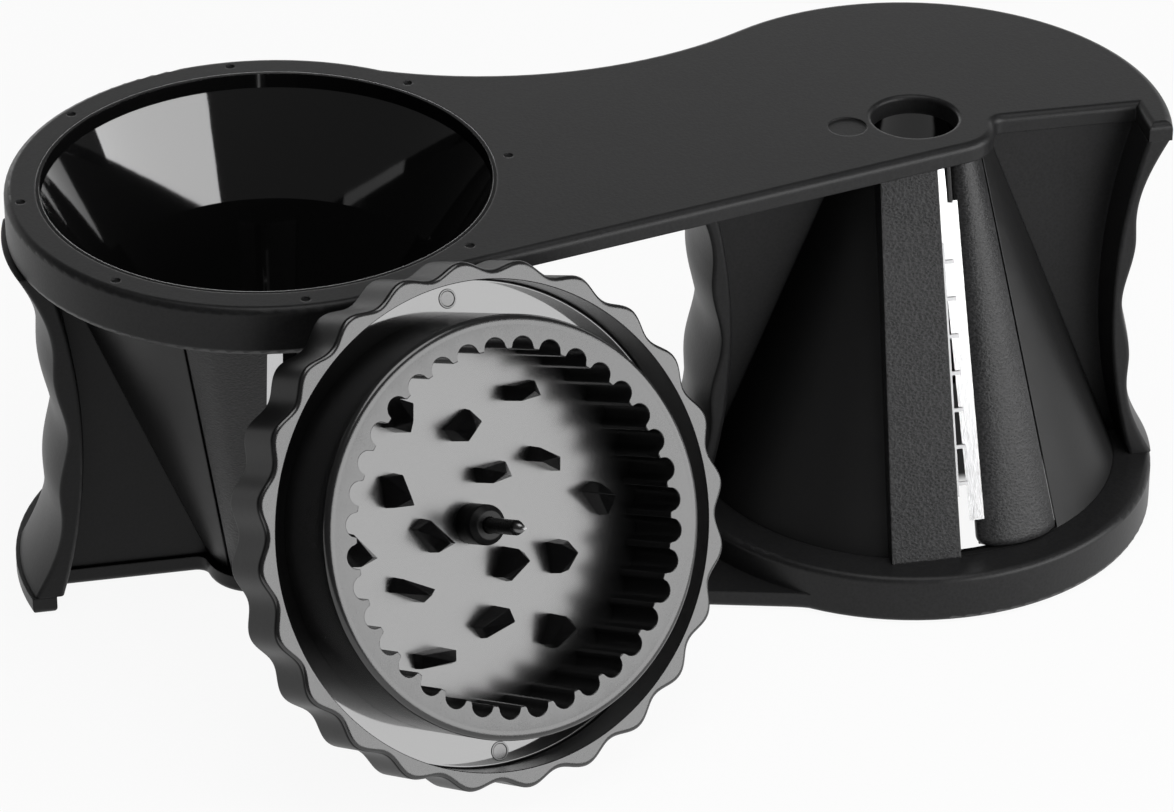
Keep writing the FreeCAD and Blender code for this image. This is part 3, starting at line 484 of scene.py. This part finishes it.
def rounded(corners: Sequence[Triple], steps: int = 5, guard: float = 0.1) -> Array:
    """Profile through corners, each rounded by its own radius.

    An arc touches both runs at radius / tan(half the corner's angle) from the corner, and a
    guard point just before and after it keeps the straight runs flat under smooth shading.

    Args:
        corners: (distance, height, radius) of each corner.
        steps: pieces of an arc.
        guard: distance of the guard points from the arc.

    Returns:
        Points (n, 2).
    """
    places = np.array([corner[:2] for corner in corners], float)
    made = [places[:1]]
    for before, here, after, corner in zip(places, places[1:], places[2:], corners[1:]):
        if corner[2] == 0.0:
            made.append(here[None])
            continue
        back = (before - here) / np.linalg.norm(before - here)
        ahead = (after - here) / np.linalg.norm(after - here)
        half = math.acos(float(np.clip(back @ ahead, -1.0, 1.0))) / 2
        start, end = (here + way * corner[2] / math.tan(half) for way in (back, ahead))
        middle = here + (back + ahead) / np.linalg.norm(back + ahead) * corner[2] / math.sin(half)
        share, sweep = np.linspace(0.0, 1.0, steps + 1)[:, None], math.pi - 2 * half
        arc = middle + (np.sin((1 - share) * sweep) * (start - middle)
                        + np.sin(share * sweep) * (end - middle)) / math.sin(sweep)
        made += [(start + back * guard)[None], arc, (end + ahead * guard)[None]]
    made.append(places[-1:])
    return np.concatenate(made)


def carried_round(profile: Array, turns: Array, wave: Array, share: Array) -> Array:
    """Profile carried round the Z axis: radius = profile's distance + share * wave(angle).

    Args:
        profile: (distance, height) points, n of them.
        turns: angles, m of them.
        wave: what each angle adds to the radius.
        share: how much of it each profile point takes.

    Returns:
        Points (n, m, 3).
    """
    radius = profile[:, :1] + share[:, None] * wave[None, :]
    height = np.broadcast_to(profile[:, 1:], radius.shape)
    return np.stack([radius * np.cos(turns), radius * np.sin(turns), height], axis=-1)


def grid_faces(rows: int, columns: int, closed_rows: bool = False) -> Array:
    """Quads of a grid whose columns close on themselves, as vertex numbers."""
    down = np.arange(rows if closed_rows else rows - 1)[:, None]
    along = np.arange(columns)[None, :]
    below, beside = (down + 1) % rows, (along + 1) % columns
    corners = (down * columns + along, down * columns + beside,
               below * columns + beside, below * columns + along)
    return np.stack(corners, axis=-1).reshape(-1, 4)


def turned_shell(points: Array) -> tuple[Array, list[Array]]:
    """Closed shell from a turned grid: a loop of rows, or rows that end in a pole.

    Rows whose radius is nil become one vertex and a fan of triangles; with no such row the
    last row joins the first.

    Args:
        points: grid (n, m, 3).

    Returns:
        Vertices, and faces as blocks of vertex numbers: the quads, then each fan.
    """
    rows, columns = points.shape[:2]
    poles = [index for index in (0, rows - 1) if np.abs(points[index, :, :2]).max() < NIL]
    keep = points[1 if 0 in poles else 0:rows - 1 if rows - 1 in poles else rows]
    vertices, faces = keep.reshape(-1, 3), [grid_faces(len(keep), columns, not poles)]
    ring = np.arange(columns)
    for pole in poles:
        edge = ring if pole == 0 else ring + (len(keep) - 1) * columns
        pair = np.stack([edge, np.roll(edge, -1)], axis=-1)
        if pole == 0:
            pair = pair[:, ::-1]
        tip = np.full((columns, 1), len(vertices))
        faces.append(np.concatenate([pair, tip], axis=1))
        vertices = np.concatenate([vertices, points[pole, :1]])
    return vertices, faces


def copies(points: Array, faces: Sequence[Array]) -> tuple[Array, list[Array]]:
    """Several copies of one shell as one mesh: each copy's vertex numbers follow the last's.

    Args:
        points: the vertices of each copy (copies, n, 3).
        faces: blocks of vertex numbers of one copy.

    Returns:
        Vertices and blocks of faces.
    """
    starts = np.arange(len(points))[:, None, None] * points.shape[1]
    return points.reshape(-1, 3), [(block + starts).reshape(-1, block.shape[1])
                                   for block in faces]


def make_piece(name: str, vertices: Array, faces: Sequence[Array],
               smooth: bool = True) -> bpy.types.Object:
    """Object at the origin from vertices in metres, its faces turned outwards.

    Args:
        name: the piece's name.
        vertices: (n, 3).
        faces: blocks of vertex numbers.
        smooth: smooth shading.

    Returns:
        The object.
    """
    mesh = bpy.data.meshes.new(name)
    mesh.from_pydata(vertices.tolist(), [], sum((block.tolist() for block in faces), []))
    mesh.validate()
    shell = bmesh.new()
    shell.from_mesh(mesh)
    bmesh.ops.recalc_face_normals(shell, faces=shell.faces)
    shell.to_mesh(mesh)
    shell.free()
    mesh.polygons.foreach_set("use_smooth", np.full(len(mesh.polygons), smooth))
    piece = bpy.data.objects.new(name, mesh)
    bpy.context.scene.collection.objects.link(piece)
    return piece


# ---------------- blade units

@dataclass
class BladeUnit:
    """Rib and blade of one unit, in the unit's frame in millimetres.

    Each pair of a left or right edge is its X at the ring and at the throat.
    """

    side: str
    finishes: Finishes
    offset: float = 53.6
    height: float = 71.5
    ring: float = 8.4
    throat: float = 68.3
    mouth_radius: float = 36.3
    slope: float = 0.39385
    wall: float = 2.6
    rib_left: Pair = (4.1, 3.2)
    rib_right: Pair = (18.25, 8.95)
    rib_rise: float = 1.2
    rib_fall: float = 3.4
    rib_share: float = 0.8
    rib_ease: Pair = (1.0, 4.0)
    rib_foot: Pair = (1.2, 1.6)
    rib_toe: Pair = (0.5, 0.5)
    foot_rows: tuple[float, int] = (3.0, 8)
    rows: tuple[float, int] = (4.0, 24)
    columns: int = 41
    sharp: float = 40.0
    blade_left: Pair = (3.05, 0.55)
    blade_root: float = 3.0
    blade_inset: float = 1.0
    blade_thickness: float = 0.7
    blade_bevel: float = 1.2
    blade_gap: float = 4.8
    tang: Pair = (1.6, 5.7)
    tang_land: float = 0.2
    tang_step: float = 0.02

    def placed(self, points: Array) -> Array:
        """Points in the object's frame, in metres; the left unit is turned half round Y."""
        flat = points.reshape(-1, 3)
        if self.side == "right":
            return (flat + np.array((self.offset, 0.0, 0.0))) * MM
        turned = flat * np.array((-1.0, 1.0, -1.0))
        return (turned + np.array((-self.offset, 0.0, self.height))) * MM

    @staticmethod
    def between(ends: Pair, way: Array) -> Array:
        """Values on the straight line from the first to the second as way goes from 0 to 1."""
        return ends[0] + (ends[1] - ends[0]) * way

    def rib(self) -> None:
        """Rounded rib that carries the blade.

        At each height the outer face follows a circle of the funnel's outside plus rise; from
        its middle to its left edge it falls back by fall * (1 - sqrt(1 - t^2)), t being the
        share of the way to the edge. Its right edge and its foot ease back by shorter curves. The
        inner face follows the inside of the funnel.
        """
        (low_zone, low_count), (high_zone, high_count) = self.foot_rows, self.rows
        rows = np.concatenate([np.linspace(self.ring, self.ring + low_zone, low_count),
                               np.linspace(self.ring + high_zone, self.throat, high_count)])
        rows = rows[:, None]
        way = (rows - self.ring) / (self.throat - self.ring)
        toe, toe_gap = self.rib_toe
        left = self.between(self.rib_left, way)
        left = left + np.clip(toe + self.ring + toe_gap - rows, 0.0, toe)
        right = self.between(self.rib_right, way)
        inner = self.mouth_radius - self.slope * rows
        share = (1 - np.cos(np.linspace(0.0, math.pi, self.columns)))[None, :] / 2
        across = left + (right - left) * share
        edge = np.clip(1 - share / self.rib_share, 0.0, 1.0)
        fall = self.rib_fall * (1 - np.sqrt(1 - edge ** 2 * NEARLY_ONE))
        ease, reach = self.rib_ease
        fall = fall + ease * np.clip(1 - (1 - share) * (right - left) / reach, 0.0, 1.0) ** 2
        depth, height = self.rib_foot
        low = np.clip(1 - (rows - self.ring) / height, 0.0, 1.0)
        fall = fall + depth * (1 - np.sqrt(1 - low ** 2 * NEARLY_ONE))
        front = fall - np.sqrt((inner + self.wall + self.rib_rise) ** 2 - across ** 2)
        back = -np.sqrt(inner ** 2 - across ** 2)
        loop_x = np.concatenate([across, across[:, ::-1]], axis=1)
        loop_y = np.concatenate([front, back[:, ::-1]], axis=1)
        grid = np.stack([loop_x, loop_y, np.broadcast_to(rows, loop_x.shape)], axis=-1)
        ring = np.arange(grid.shape[1])
        ends = np.stack([ring, ring + (len(rows) - 1) * len(ring)])
        piece = make_piece(self.side + "_rounded_rib", self.placed(grid),
                           [grid_faces(len(rows), len(ring)), ends])
        piece.data.materials.append(self.finishes.get(Finish.GRAINED))
        piece.data.set_sharp_from_angle(angle=math.radians(self.sharp))
        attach(piece, "body")
        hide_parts(self.side + "_blade_rib")
        LOG.info("%s: %d faces", piece.name, len(piece.data.polygons))

    def blade(self) -> None:
        """Steel blade with a narrow top.

        Its flat lies inset behind the funnel's outside and narrows with it; the bevel is ground
        from behind, from the flat's left edge to the back face. The corners of its section run
        straight from the foot to the step of the narrow top and from there to the throat.
        """
        width, height = self.tang
        step = self.throat - height
        rows = np.array([self.ring + self.blade_gap, step, step + self.tang_step, self.throat])
        way = (rows - self.ring) / (self.throat - self.ring)
        left = self.between(self.blade_left, way)
        root = self.between(self.rib_left, way) + self.blade_root
        right = np.where(rows > step, left + width, root)
        face = self.blade_inset - self.wall - self.mouth_radius + self.slope * rows
        back = face + self.blade_thickness
        bevel = left + np.minimum(self.blade_bevel, width - self.tang_land)
        grid = np.stack([np.stack([left, right, right, bevel], axis=1),
                         np.stack([face, face, back, back], axis=1),
                         np.repeat(rows[:, None], 4, axis=1)], axis=-1)
        ends = np.arange(4) + np.array([[0], [4 * (len(rows) - 1)]])
        piece = make_piece(self.side + "_ground_blade", self.placed(grid),
                           [grid_faces(len(rows), 4), ends], smooth=False)
        piece.data.materials.append(self.finishes.get(Finish.BLADE))
        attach(piece, "body")
        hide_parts(self.side + "_blade")
        LOG.info("%s: %d faces", piece.name, len(piece.data.polygons))

    def build(self) -> None:
        """Makes the unit's pieces."""
        self.rib()
        self.blade()


# ---------------- holder cap

@dataclass
class HolderCap:
    """Loose cap that turns the last piece of the vegetable.

    Its own frame, in millimetres: origin in the middle of the disc's back, +Z out of the open
    side, +X level. axis and base place that frame on the table. Heights are measured from the
    disc's face, rounds are the radii of edges from the foot upwards, and sunk is how deep a
    piece's foot lies in the disc.
    """

    finishes: Finishes
    axis: Triple = (0.3322828556, -0.8409655272, 0.4270422530)
    base: Triple = (-31.50283, -54.21522, 37.04238)
    disc: float = 2.4
    disc_seam: float = 1.0
    near: float = 0.1
    skirt_depth: float = 10.0
    skirt_bore: float = 38.1
    skirt_rounds: Four = (0.6, 0.75, 0.15, 0.35)
    skirt_outside: float = 0.3
    lobe_radius: float = 41.2
    lobe_depth: float = 1.6
    lobes: int = 24
    lobe_steps: int = 20
    lobe_phase: float = -6.8
    lobe_zone: Pair = (0.3, 1.1)
    cup_radius: float = 32.8
    cup_bore: float = 27.45
    cup_height: float = 13.8
    cup_rounds: Triple = (0.1, 1.0, 0.2)
    rim_line: float = 31.3
    rim_groove: Pair = (0.15, 0.02)
    flutes: int = 36
    flute_steps: int = 24
    flute_radius: float = 1.9
    flute_phase: float = 2.25
    flute_land: float = 0.6
    spike_foot: Pair = (2.5, 5.1)
    spike_sunk: float = 0.3
    spike_tops: Four = (2.9, 1.6, 2.9, 5.1)
    spike_point: Triple = (0.2, 0.9, 7.4)
    spike_draft: float = 0.93
    spike_turn: float = 30.8
    spike_edge: float = 0.12
    spike_sharp: float = 12.0
    spike_rings: tuple[tuple[float, int, float], ...] = ((8.5, 3, 55.6), (15.6, 6, 24.0),
                                                         (22.1, 6, 53.6))
    round_steps: int = 48
    post_radius: float = 3.2
    post_height: float = 5.4
    post_sunk: float = 0.2
    post_chamfer: float = 0.9
    post_rounds: Triple = (0.35, 0.3, 0.15)
    pin_radius: float = 1.2
    pin_play: float = 0.05
    pin_seat: float = 0.8
    pin_reach: float = 17.1
    pin_point: float = 3.2
    pin_rounds: Pair = (0.1, 0.8)
    mark_steps: int = 36
    mark_radius: float = 1.4
    mark_sunk: float = 0.1
    mark_edges: Four = (0.2, 0.1, -0.15, -0.25)
    mark_heights: Pair = (0.14, 0.03)
    mark_rounds: Pair = (0.05, 0.04)
    mark_guard: float = 0.02
    marks: tuple[Pair, ...] = ((35.3, 82.0), (35.9, -98.0))

    def placed(self, points: Array) -> Array:
        """Points of the cap's frame in the object's frame, in metres.

        Formula: base plus each coordinate along its own axis, the axes being level, the upright
        one across it, and the cap's own.

        Args:
            points: any array of points.

        Returns:
            Points (n, 3).
        """
        out = np.array(self.axis)
        level = np.cross((0.0, 0.0, 1.0), out)
        level /= np.linalg.norm(level)
        axes = np.stack([level, np.cross(out, level), out])
        return (points.reshape(-1, 3) @ axes + np.array(self.base)) * MM

    def settle(self, name: str, vertices: Array, faces: Sequence[Array], finish: Finish,
               stands_for: Sequence[str] = (), smooth: bool = True,
               body: str = "holder") -> bpy.types.Object:
        """Makes a piece of the cap, dresses it and lets it ride.

        Args:
            name: the piece's name.
            vertices: points in the cap's frame.
            faces: blocks of vertex numbers.
            finish: its finish.
            stands_for: CAD nodes that it replaces.
            smooth: smooth shading.
            body: the moving body that carries it.

        Returns:
            The piece.
        """
        piece = make_piece(name, self.placed(vertices), faces, smooth)
        piece.data.materials.append(self.finishes.get(finish))
        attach(piece, body)
        if stands_for:
            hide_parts(*stands_for)
        LOG.info("%s: %d faces", name, len(piece.data.polygons))
        return piece

    def skirt(self) -> None:
        """Disc with its lobed skirt.

        A rounded profile runs from the back's middle over the skirt's rim to the disc's middle;
        its outer part follows half the lobes' depth * cos(lobes * angle).
        """
        middle = self.lobe_radius - self.lobe_depth / 2
        back, edge, inner_edge, corner = self.skirt_rounds
        profile = rounded([(0.0, 0.0, 0.0), (middle, 0.0, back),
                           (middle, self.skirt_depth, edge),
                           (self.skirt_bore, self.skirt_depth, inner_edge),
                           (self.skirt_bore, self.disc, corner),
                           (self.cup_radius - self.disc_seam, self.disc, 0.0),
                           (0.0, self.disc, 0.0)])
        turns = np.linspace(0.0, 2 * math.pi, self.lobes * self.lobe_steps, endpoint=False)
        wave = self.lobe_depth / 2 * np.cos(self.lobes * (turns - math.radians(self.lobe_phase)))
        start, zone = self.lobe_zone
        share = np.clip((profile[:, 0] - self.skirt_bore - start) / zone, 0.0, 1.0)
        vertices, faces = turned_shell(carried_round(profile, turns, wave, share))
        piece = self.settle("holder_skirt", vertices, faces, Finish.HOLDER,
                            ["holder_cap"])
        for finish in (Finish.GROOVE, Finish.OUTER, Finish.RIM):
            piece.data.materials.append(self.finishes.get(finish))
        reach, rise = ((profile[1:-2] + profile[2:-1]) / 2).T
        groove = np.abs(rise - self.disc) < self.near
        groove &= reach > self.cup_radius - self.disc_seam - self.near
        groove &= reach < self.skirt_bore - 2 * self.near
        outer = (reach > self.skirt_bore) & (rise < self.skirt_depth - self.skirt_outside)
        outer |= rise < self.near
        rim = rise > self.skirt_depth - self.near / 2
        rows = np.repeat(groove + 2 * outer + 3 * rim, len(turns))
        fans = np.repeat((2, 0), len(turns))
        piece.data.polygons.foreach_set("material_index",
                                        np.concatenate([rows, fans]).astype(np.int32))

    def fluted_wall(self) -> None:
        """Cup wall with a fine groove along its top.

        A closed rounded profile whose inner part steps out where the angle lies within a flute,
        by bore * cos(angle) + sqrt(flute^2 - (bore * sin(angle))^2) - bore.
        """
        top = self.disc + self.cup_height
        half = (self.cup_bore + self.cup_radius) / 2
        foot, edge, inner_edge = self.cup_rounds
        width, depth = self.rim_groove
        profile = rounded([(half, self.disc, 0.0), (self.cup_radius, self.disc, foot),
                           (self.cup_radius, top, edge), (self.rim_line + width, top, 0.0),
                           (self.rim_line, top - depth, 0.0), (self.rim_line - width, top, 0.0),
                           (self.cup_bore, top, inner_edge), (self.cup_bore, self.disc, foot),
                           (half, self.disc, 0.0)])[:-1]
        turns = np.linspace(0.0, 2 * math.pi, self.flutes * self.flute_steps, endpoint=False)
        pitch = 2 * math.pi / self.flutes
        off = (turns - math.radians(self.flute_phase) + pitch / 2) % pitch - pitch / 2
        inside = np.clip(self.flute_radius ** 2 - (self.cup_bore * np.sin(off)) ** 2, 0.0, None)
        wave = np.where(inside > 0, self.cup_bore * (np.cos(off) - 1) + np.sqrt(inside), 0.0)
        share = (half - profile[:, 0]) / (half - self.cup_bore - self.flute_land)
        vertices, faces = turned_shell(carried_round(profile, turns, wave,
                                                     np.clip(share, 0.0, 1.0)))
        piece = self.settle("holder_fluted_wall", vertices, faces, Finish.HOLDER,
                            ["holder_cup"])
        piece.data.materials.append(self.finishes.get(Finish.RIM))
        rise = (profile[:, 1] + np.roll(profile[:, 1], -1)) / 2
        rim = np.repeat(rise > top - self.near, len(turns))
        piece.data.polygons.foreach_set("material_index", rim.astype(np.int32))

    @staticmethod
    def turned(points: Array, degrees: Union[float, Array]) -> Array:
        """Points turned about the Z axis: x cos - y sin, x sin + y cos, z.

        Args:
            points: (..., 3).
            degrees: one angle, or an array that spreads over the points.

        Returns:
            The turned points.
        """
        cos, sin = np.cos(np.radians(degrees)), np.sin(np.radians(degrees))
        x, y, z = np.moveaxis(points, -1, 0)
        return np.stack([x * cos - y * sin, x * sin + y * cos, z], axis=-1)

    def spikes(self) -> None:
        """Pointed spikes.

        A rectangle of foot corners, the same rectangle drawn in by the draft at four heights and
        a point over it; turned a little, moved out by the circle's radius and turned to its
        place on the circle.
        """
        wide, long = (side / 2 for side in self.spike_foot)
        corners = np.array([(-wide, -long), (wide, -long), (wide, long), (-wide, long)])
        foot = np.column_stack([corners, np.full(4, -self.spike_sunk)])
        top = np.column_stack([corners * self.spike_draft, self.spike_tops])
        block = np.concatenate([foot, top, [self.spike_point]]) + (0.0, 0.0, self.disc)
        places = np.array([(circle, first + 360.0 / count * index)
                           for circle, count, first in self.spike_rings
                           for index in range(count)])
        moved = self.turned(block, self.spike_turn) + places[:, :1, None] * (1.0, 0.0, 0.0)
        sides = np.array([(4, 5, 8), (5, 6, 8), (6, 7, 8), (7, 4, 8), (0, 1, 4), (1, 5, 4),
                          (1, 2, 6), (1, 6, 5), (2, 3, 7), (2, 7, 6), (3, 0, 7), (0, 4, 7)])
        vertices, faces = copies(self.turned(moved, places[:, 1:]),
                                 [np.array([(3, 2, 1, 0)]), sides])
        piece = self.settle("holder_pointed_spikes", vertices, faces, Finish.HOLDER,
                            ["holder_spikes"], smooth=False)
        edges = piece.modifiers.new("eased_edges", "BEVEL")
        edges.width = self.spike_edge * MM
        edges.segments = 2
        edges.harden_normals = True
        edges.angle_limit = math.radians(self.spike_sharp)

    def plain_shell(self, profile: Array, steps: int) -> tuple[Array, list[Array]]:
        """Closed shell of a profile carried round the Z axis.

        Args:
            profile: (distance, height) points.
            steps: columns of the round.

        Returns:
            Vertices and blocks of faces.
        """
        turns = np.linspace(0.0, 2 * math.pi, steps, endpoint=False)
        return turned_shell(carried_round(profile, turns, np.zeros(steps),
                                          np.zeros(len(profile))))

    def post_and_pin(self) -> None:
        """Bevelled post, bored for the pin, and the turned steel pin with its point."""
        foot, top = self.disc - self.post_sunk, self.disc + self.post_height
        seat, bore = self.disc + self.pin_seat, self.pin_radius + self.pin_play
        low, high, mouth = self.post_rounds
        post = rounded([(0.0, foot, 0.0), (self.post_radius, foot, 0.0),
                        (self.post_radius, top - self.post_chamfer, low),
                        (self.post_radius - self.post_chamfer, top, high),
                        (bore, top, mouth), (bore, seat, 0.0), (0.0, seat, 0.0)])
        vertices, faces = self.plain_shell(post, self.round_steps)
        self.settle("holder_bored_post", vertices, faces, Finish.OUTER,
                    ["holder_post"])
        foot, tip = seat + self.pin_play, self.disc + self.pin_reach
        low, high = self.pin_rounds
        pin = rounded([(0.0, foot, 0.0), (self.pin_radius, foot, low),
                       (self.pin_radius, tip - self.pin_point, high), (0.0, tip, 0.0)])
        vertices, faces = self.plain_shell(pin, self.round_steps)
        self.settle("holder_turned_pin", vertices, faces, Finish.PIN,
                    ["holder_pin"], body="pin")

    def ejector_marks(self) -> None:
        """Two round marks in the groove: a shallow rim round a flat face."""
        rise, face = (self.disc + height for height in self.mark_heights)
        foot, outer, inner, flat = (self.mark_radius + edge for edge in self.mark_edges)
        edge, corner = self.mark_rounds
        sunk = self.disc - self.mark_sunk
        profile = rounded([(0.0, sunk, 0.0), (foot, sunk, 0.0), (outer, rise, edge),
                           (inner, rise, edge), (flat, face, corner), (0.0, face, 0.0)],
                          steps=3, guard=self.mark_guard)
        vertices, faces = self.plain_shell(profile, self.mark_steps)
        reach, angle = np.array(self.marks).T
        angle = np.radians(angle)
        shifts = np.stack([reach * np.cos(angle), reach * np.sin(angle), 0 * reach], axis=-1)
        vertices, faces = copies(vertices + shifts[:, None], faces)
        self.settle("holder_ejector_marks", vertices, faces, Finish.HOLDER)

    def build(self) -> None:
        """Makes every piece of the cap."""
        self.skirt()
        self.fluted_wall()
        self.spikes()
        self.post_and_pin()
        self.ejector_marks()


# ---------------- studio

@dataclass(frozen=True)
class Softbox:
    """Rectangular softbox that faces the point aim.

    turn is degrees to the right of the viewer's side, -Y, rise degrees above level, away its
    distance and size its width and height, in metres.
    """

    name: str
    turn: float
    rise: float
    away: float
    size: Pair
    watts: float
    aim: Triple = (0.0, 0.0, 0.035)

    def add(self) -> None:
        """Adds the lamp to the scene, out of the camera's sight."""
        data = bpy.data.lights.new(self.name, "AREA")
        data.shape = "RECTANGLE"
        data.size, data.size_y = self.size
        data.energy = self.watts
        lamp = bpy.data.objects.new(self.name, data)
        flat, lift = math.radians(self.turn), math.radians(self.rise)
        way = Vector((math.sin(flat) * math.cos(lift), -math.cos(flat) * math.cos(lift),
                      math.sin(lift)))
        lamp.location = Vector(self.aim) + way * self.away
        lamp.rotation_euler = way.to_track_quat("Z", "Y").to_euler()
        lamp.visible_camera = False
        bpy.context.scene.collection.objects.link(lamp)


@dataclass
class Studio:
    """Camera, softboxes, table and the white surround.

    The key softbox stands at the front right, the top and back ones are weaker fills. backdrop
    pairs are where the surround turns from its mirrored grey to white, going away from the
    viewer, and back to grey, going up. mouth is the X and the radius of the right funnel's mouth;
    a shadow painted on the table darkens it inside that mouth over a band in Y.
    """

    camera_place: Triple = (-0.160886, -0.768021, 0.495326)
    camera_turn: float = 12.0014
    camera_drop: float = 30.4255
    camera_roll: float = 0.3072
    camera_near: float = 0.01
    focal_pixels: float = 5501.78
    middle_pixel: Pair = (607.341, 344.312)
    picture: tuple[int, int] = (1174, 812)
    sensor: float = 36.0
    softboxes: tuple[Softbox, ...] = (
        Softbox("key_softbox", 52.0, 13.6, 0.64, (0.80, 0.355), 5.2),
        Softbox("top_softbox", 10.0, 80.0, 1.3, (0.8, 0.8), 6.5),
        Softbox("back_softbox", 178.0, 9.0, 1.2, (1.4, 0.35), 2.0))
    backdrop_away: Pair = (0.35, 0.75)
    backdrop_up: Pair = (0.25, 0.5)
    mirrored_grey: float = 0.10
    light_grey: float = 0.09
    table_half: float = 3.0
    table_drop: float = 0.0002
    table_grain: float = 0.03
    table_shades: Pair = (0.78, 0.82)
    table_white: float = 0.93
    mouth: Pair = (0.0536, 0.0375)
    # painted shadow on the table inside that mouth: the width of its soft edge, its band in Y and
    # its grey
    painted_shadow_edge: float = 0.001
    painted_shadow_band: Pair = (-0.001, 0.003)
    painted_shadow_grey: float = 0.02

    def add_camera(self) -> None:
        """Puts the camera where it looks down on the tool from the front left."""
        turn, drop, roll = (math.radians(angle) for angle in
                            (self.camera_turn, self.camera_drop, self.camera_roll))
        ahead = Vector((math.sin(turn) * math.cos(drop), math.cos(turn) * math.cos(drop),
                        -math.sin(drop)))
        right = Vector((math.cos(turn), -math.sin(turn), 0.0))
        above = right.cross(ahead)
        across = right * math.cos(roll) + above * math.sin(roll)
        upright = above * math.cos(roll) - right * math.sin(roll)
        data = bpy.data.cameras.new("camera")
        data.sensor_width = self.sensor
        wide, high = self.picture
        data.lens = self.focal_pixels / wide * self.sensor
        data.shift_x = (wide / 2 - self.middle_pixel[0]) / wide
        data.shift_y = (self.middle_pixel[1] - high / 2) / wide
        data.clip_start = self.camera_near
        camera = bpy.data.objects.new("camera", data)
        turned = Matrix((across, upright, -ahead)).transposed().to_4x4()
        camera.matrix_world = Matrix.Translation(self.camera_place) @ turned
        bpy.context.scene.collection.objects.link(camera)
        bpy.context.scene.camera = camera

    @staticmethod
    def rays(tree: ShaderTree) -> list[Socket]:
        """Whether a ray is the camera's, mirrored or let through, as three values 0 or 1."""
        path = tree.nodes.new("ShaderNodeLightPath")
        return [Socket(tree, path.outputs[f"Is {kind} Ray"])
                for kind in ("Camera", "Glossy", "Transmission")]

    def surround(self) -> None:
        """White wherever it is looked at; a white backdrop behind the tool and grey above and
        beside it in reflections; a soft grey as light."""
        world = bpy.data.worlds.new("surround")
        bpy.context.scene.world = world
        tree = ShaderTree("surround_maths", world)
        camera, mirrored, through = self.rays(tree)
        way = tree.node("ShaderNodeTexCoord", {}, {}, "Generated")
        backdrop = way.part("Y").band(*self.backdrop_away)
        backdrop = backdrop * (1 - way.part("Z").band(*self.backdrop_up))
        glossy = mirrored * (self.mirrored_grey + backdrop * (1 - self.mirrored_grey))
        other = 1 - camera - through - mirrored
        level = camera + through + glossy + other * self.light_grey
        tree.node_output(tree.node("ShaderNodeBackground", {},
                                   {"Color": tree.shade(0.0, 1.0, level)}),
                         "ShaderNodeOutputWorld")

    def add_floor(self) -> None:
        """A pale table that shows white to the camera and still takes a faint shadow; inside the
        right funnel's mouth a painted shadow darkens its glow, to the camera and in reflections."""
        half = self.table_half
        mesh = bpy.data.meshes.new("table")
        mesh.from_pydata([(-half, -half, 0.0), (half, -half, 0.0), (half, half, 0.0),
                          (-half, half, 0.0)], [], [(0, 1, 2, 3)])
        floor = bpy.data.objects.new("table", mesh)
        floor.location.z = -self.table_drop
        bpy.context.scene.collection.objects.link(floor)
        tree = ShaderTree("table_white")
        grain = tree.noise(tree.place(), self.table_grain)
        matt = tree.node("ShaderNodeBsdfDiffuse", {},
                         {"Color": tree.shade(*self.table_shades, grain)})
        # painted shadow: inside the right funnel's mouth the table's glow turns dark grey, for
        # the camera and in reflections
        across, radius = self.mouth
        flat = tree.place((1.0, 1.0, 0.0), shift=(-across, 0.0, 0.0))
        painted_shadow = 1 - flat.length().band(radius - self.painted_shadow_edge, radius)
        painted_shadow = painted_shadow * flat.part("Y").band(*self.painted_shadow_band)
        glow = tree.node("ShaderNodeEmission", {},
                         {"Color": tree.shade(1.0, self.painted_shadow_grey, painted_shadow)})
        camera, mirrored, through = self.rays(tree)
        seen = (camera + mirrored + through) * self.table_white
        tree.node_output(tree.node("ShaderNodeMixShader", {}, {0: seen, 1: matt, 2: glow}))
        mesh.materials.append(tree.material)

    def build(self) -> None:
        """Sets up everything round the tool."""
        bpy.context.scene.view_settings.view_transform = "Standard"
        self.add_camera()
        for softbox in self.softboxes:
            softbox.add()
        self.surround()
        self.add_floor()


def main() -> None:
    """Builds the looks in order."""
    logging.basicConfig(level=logging.INFO)
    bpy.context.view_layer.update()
    finishes = Finishes()
    Studio().build()
    CarriedNodes(finishes).dress()
    for side in ("left", "right"):
        BladeUnit(side, finishes).build()
    HolderCap(finishes).build()


if __name__ == "__main__":
    main()
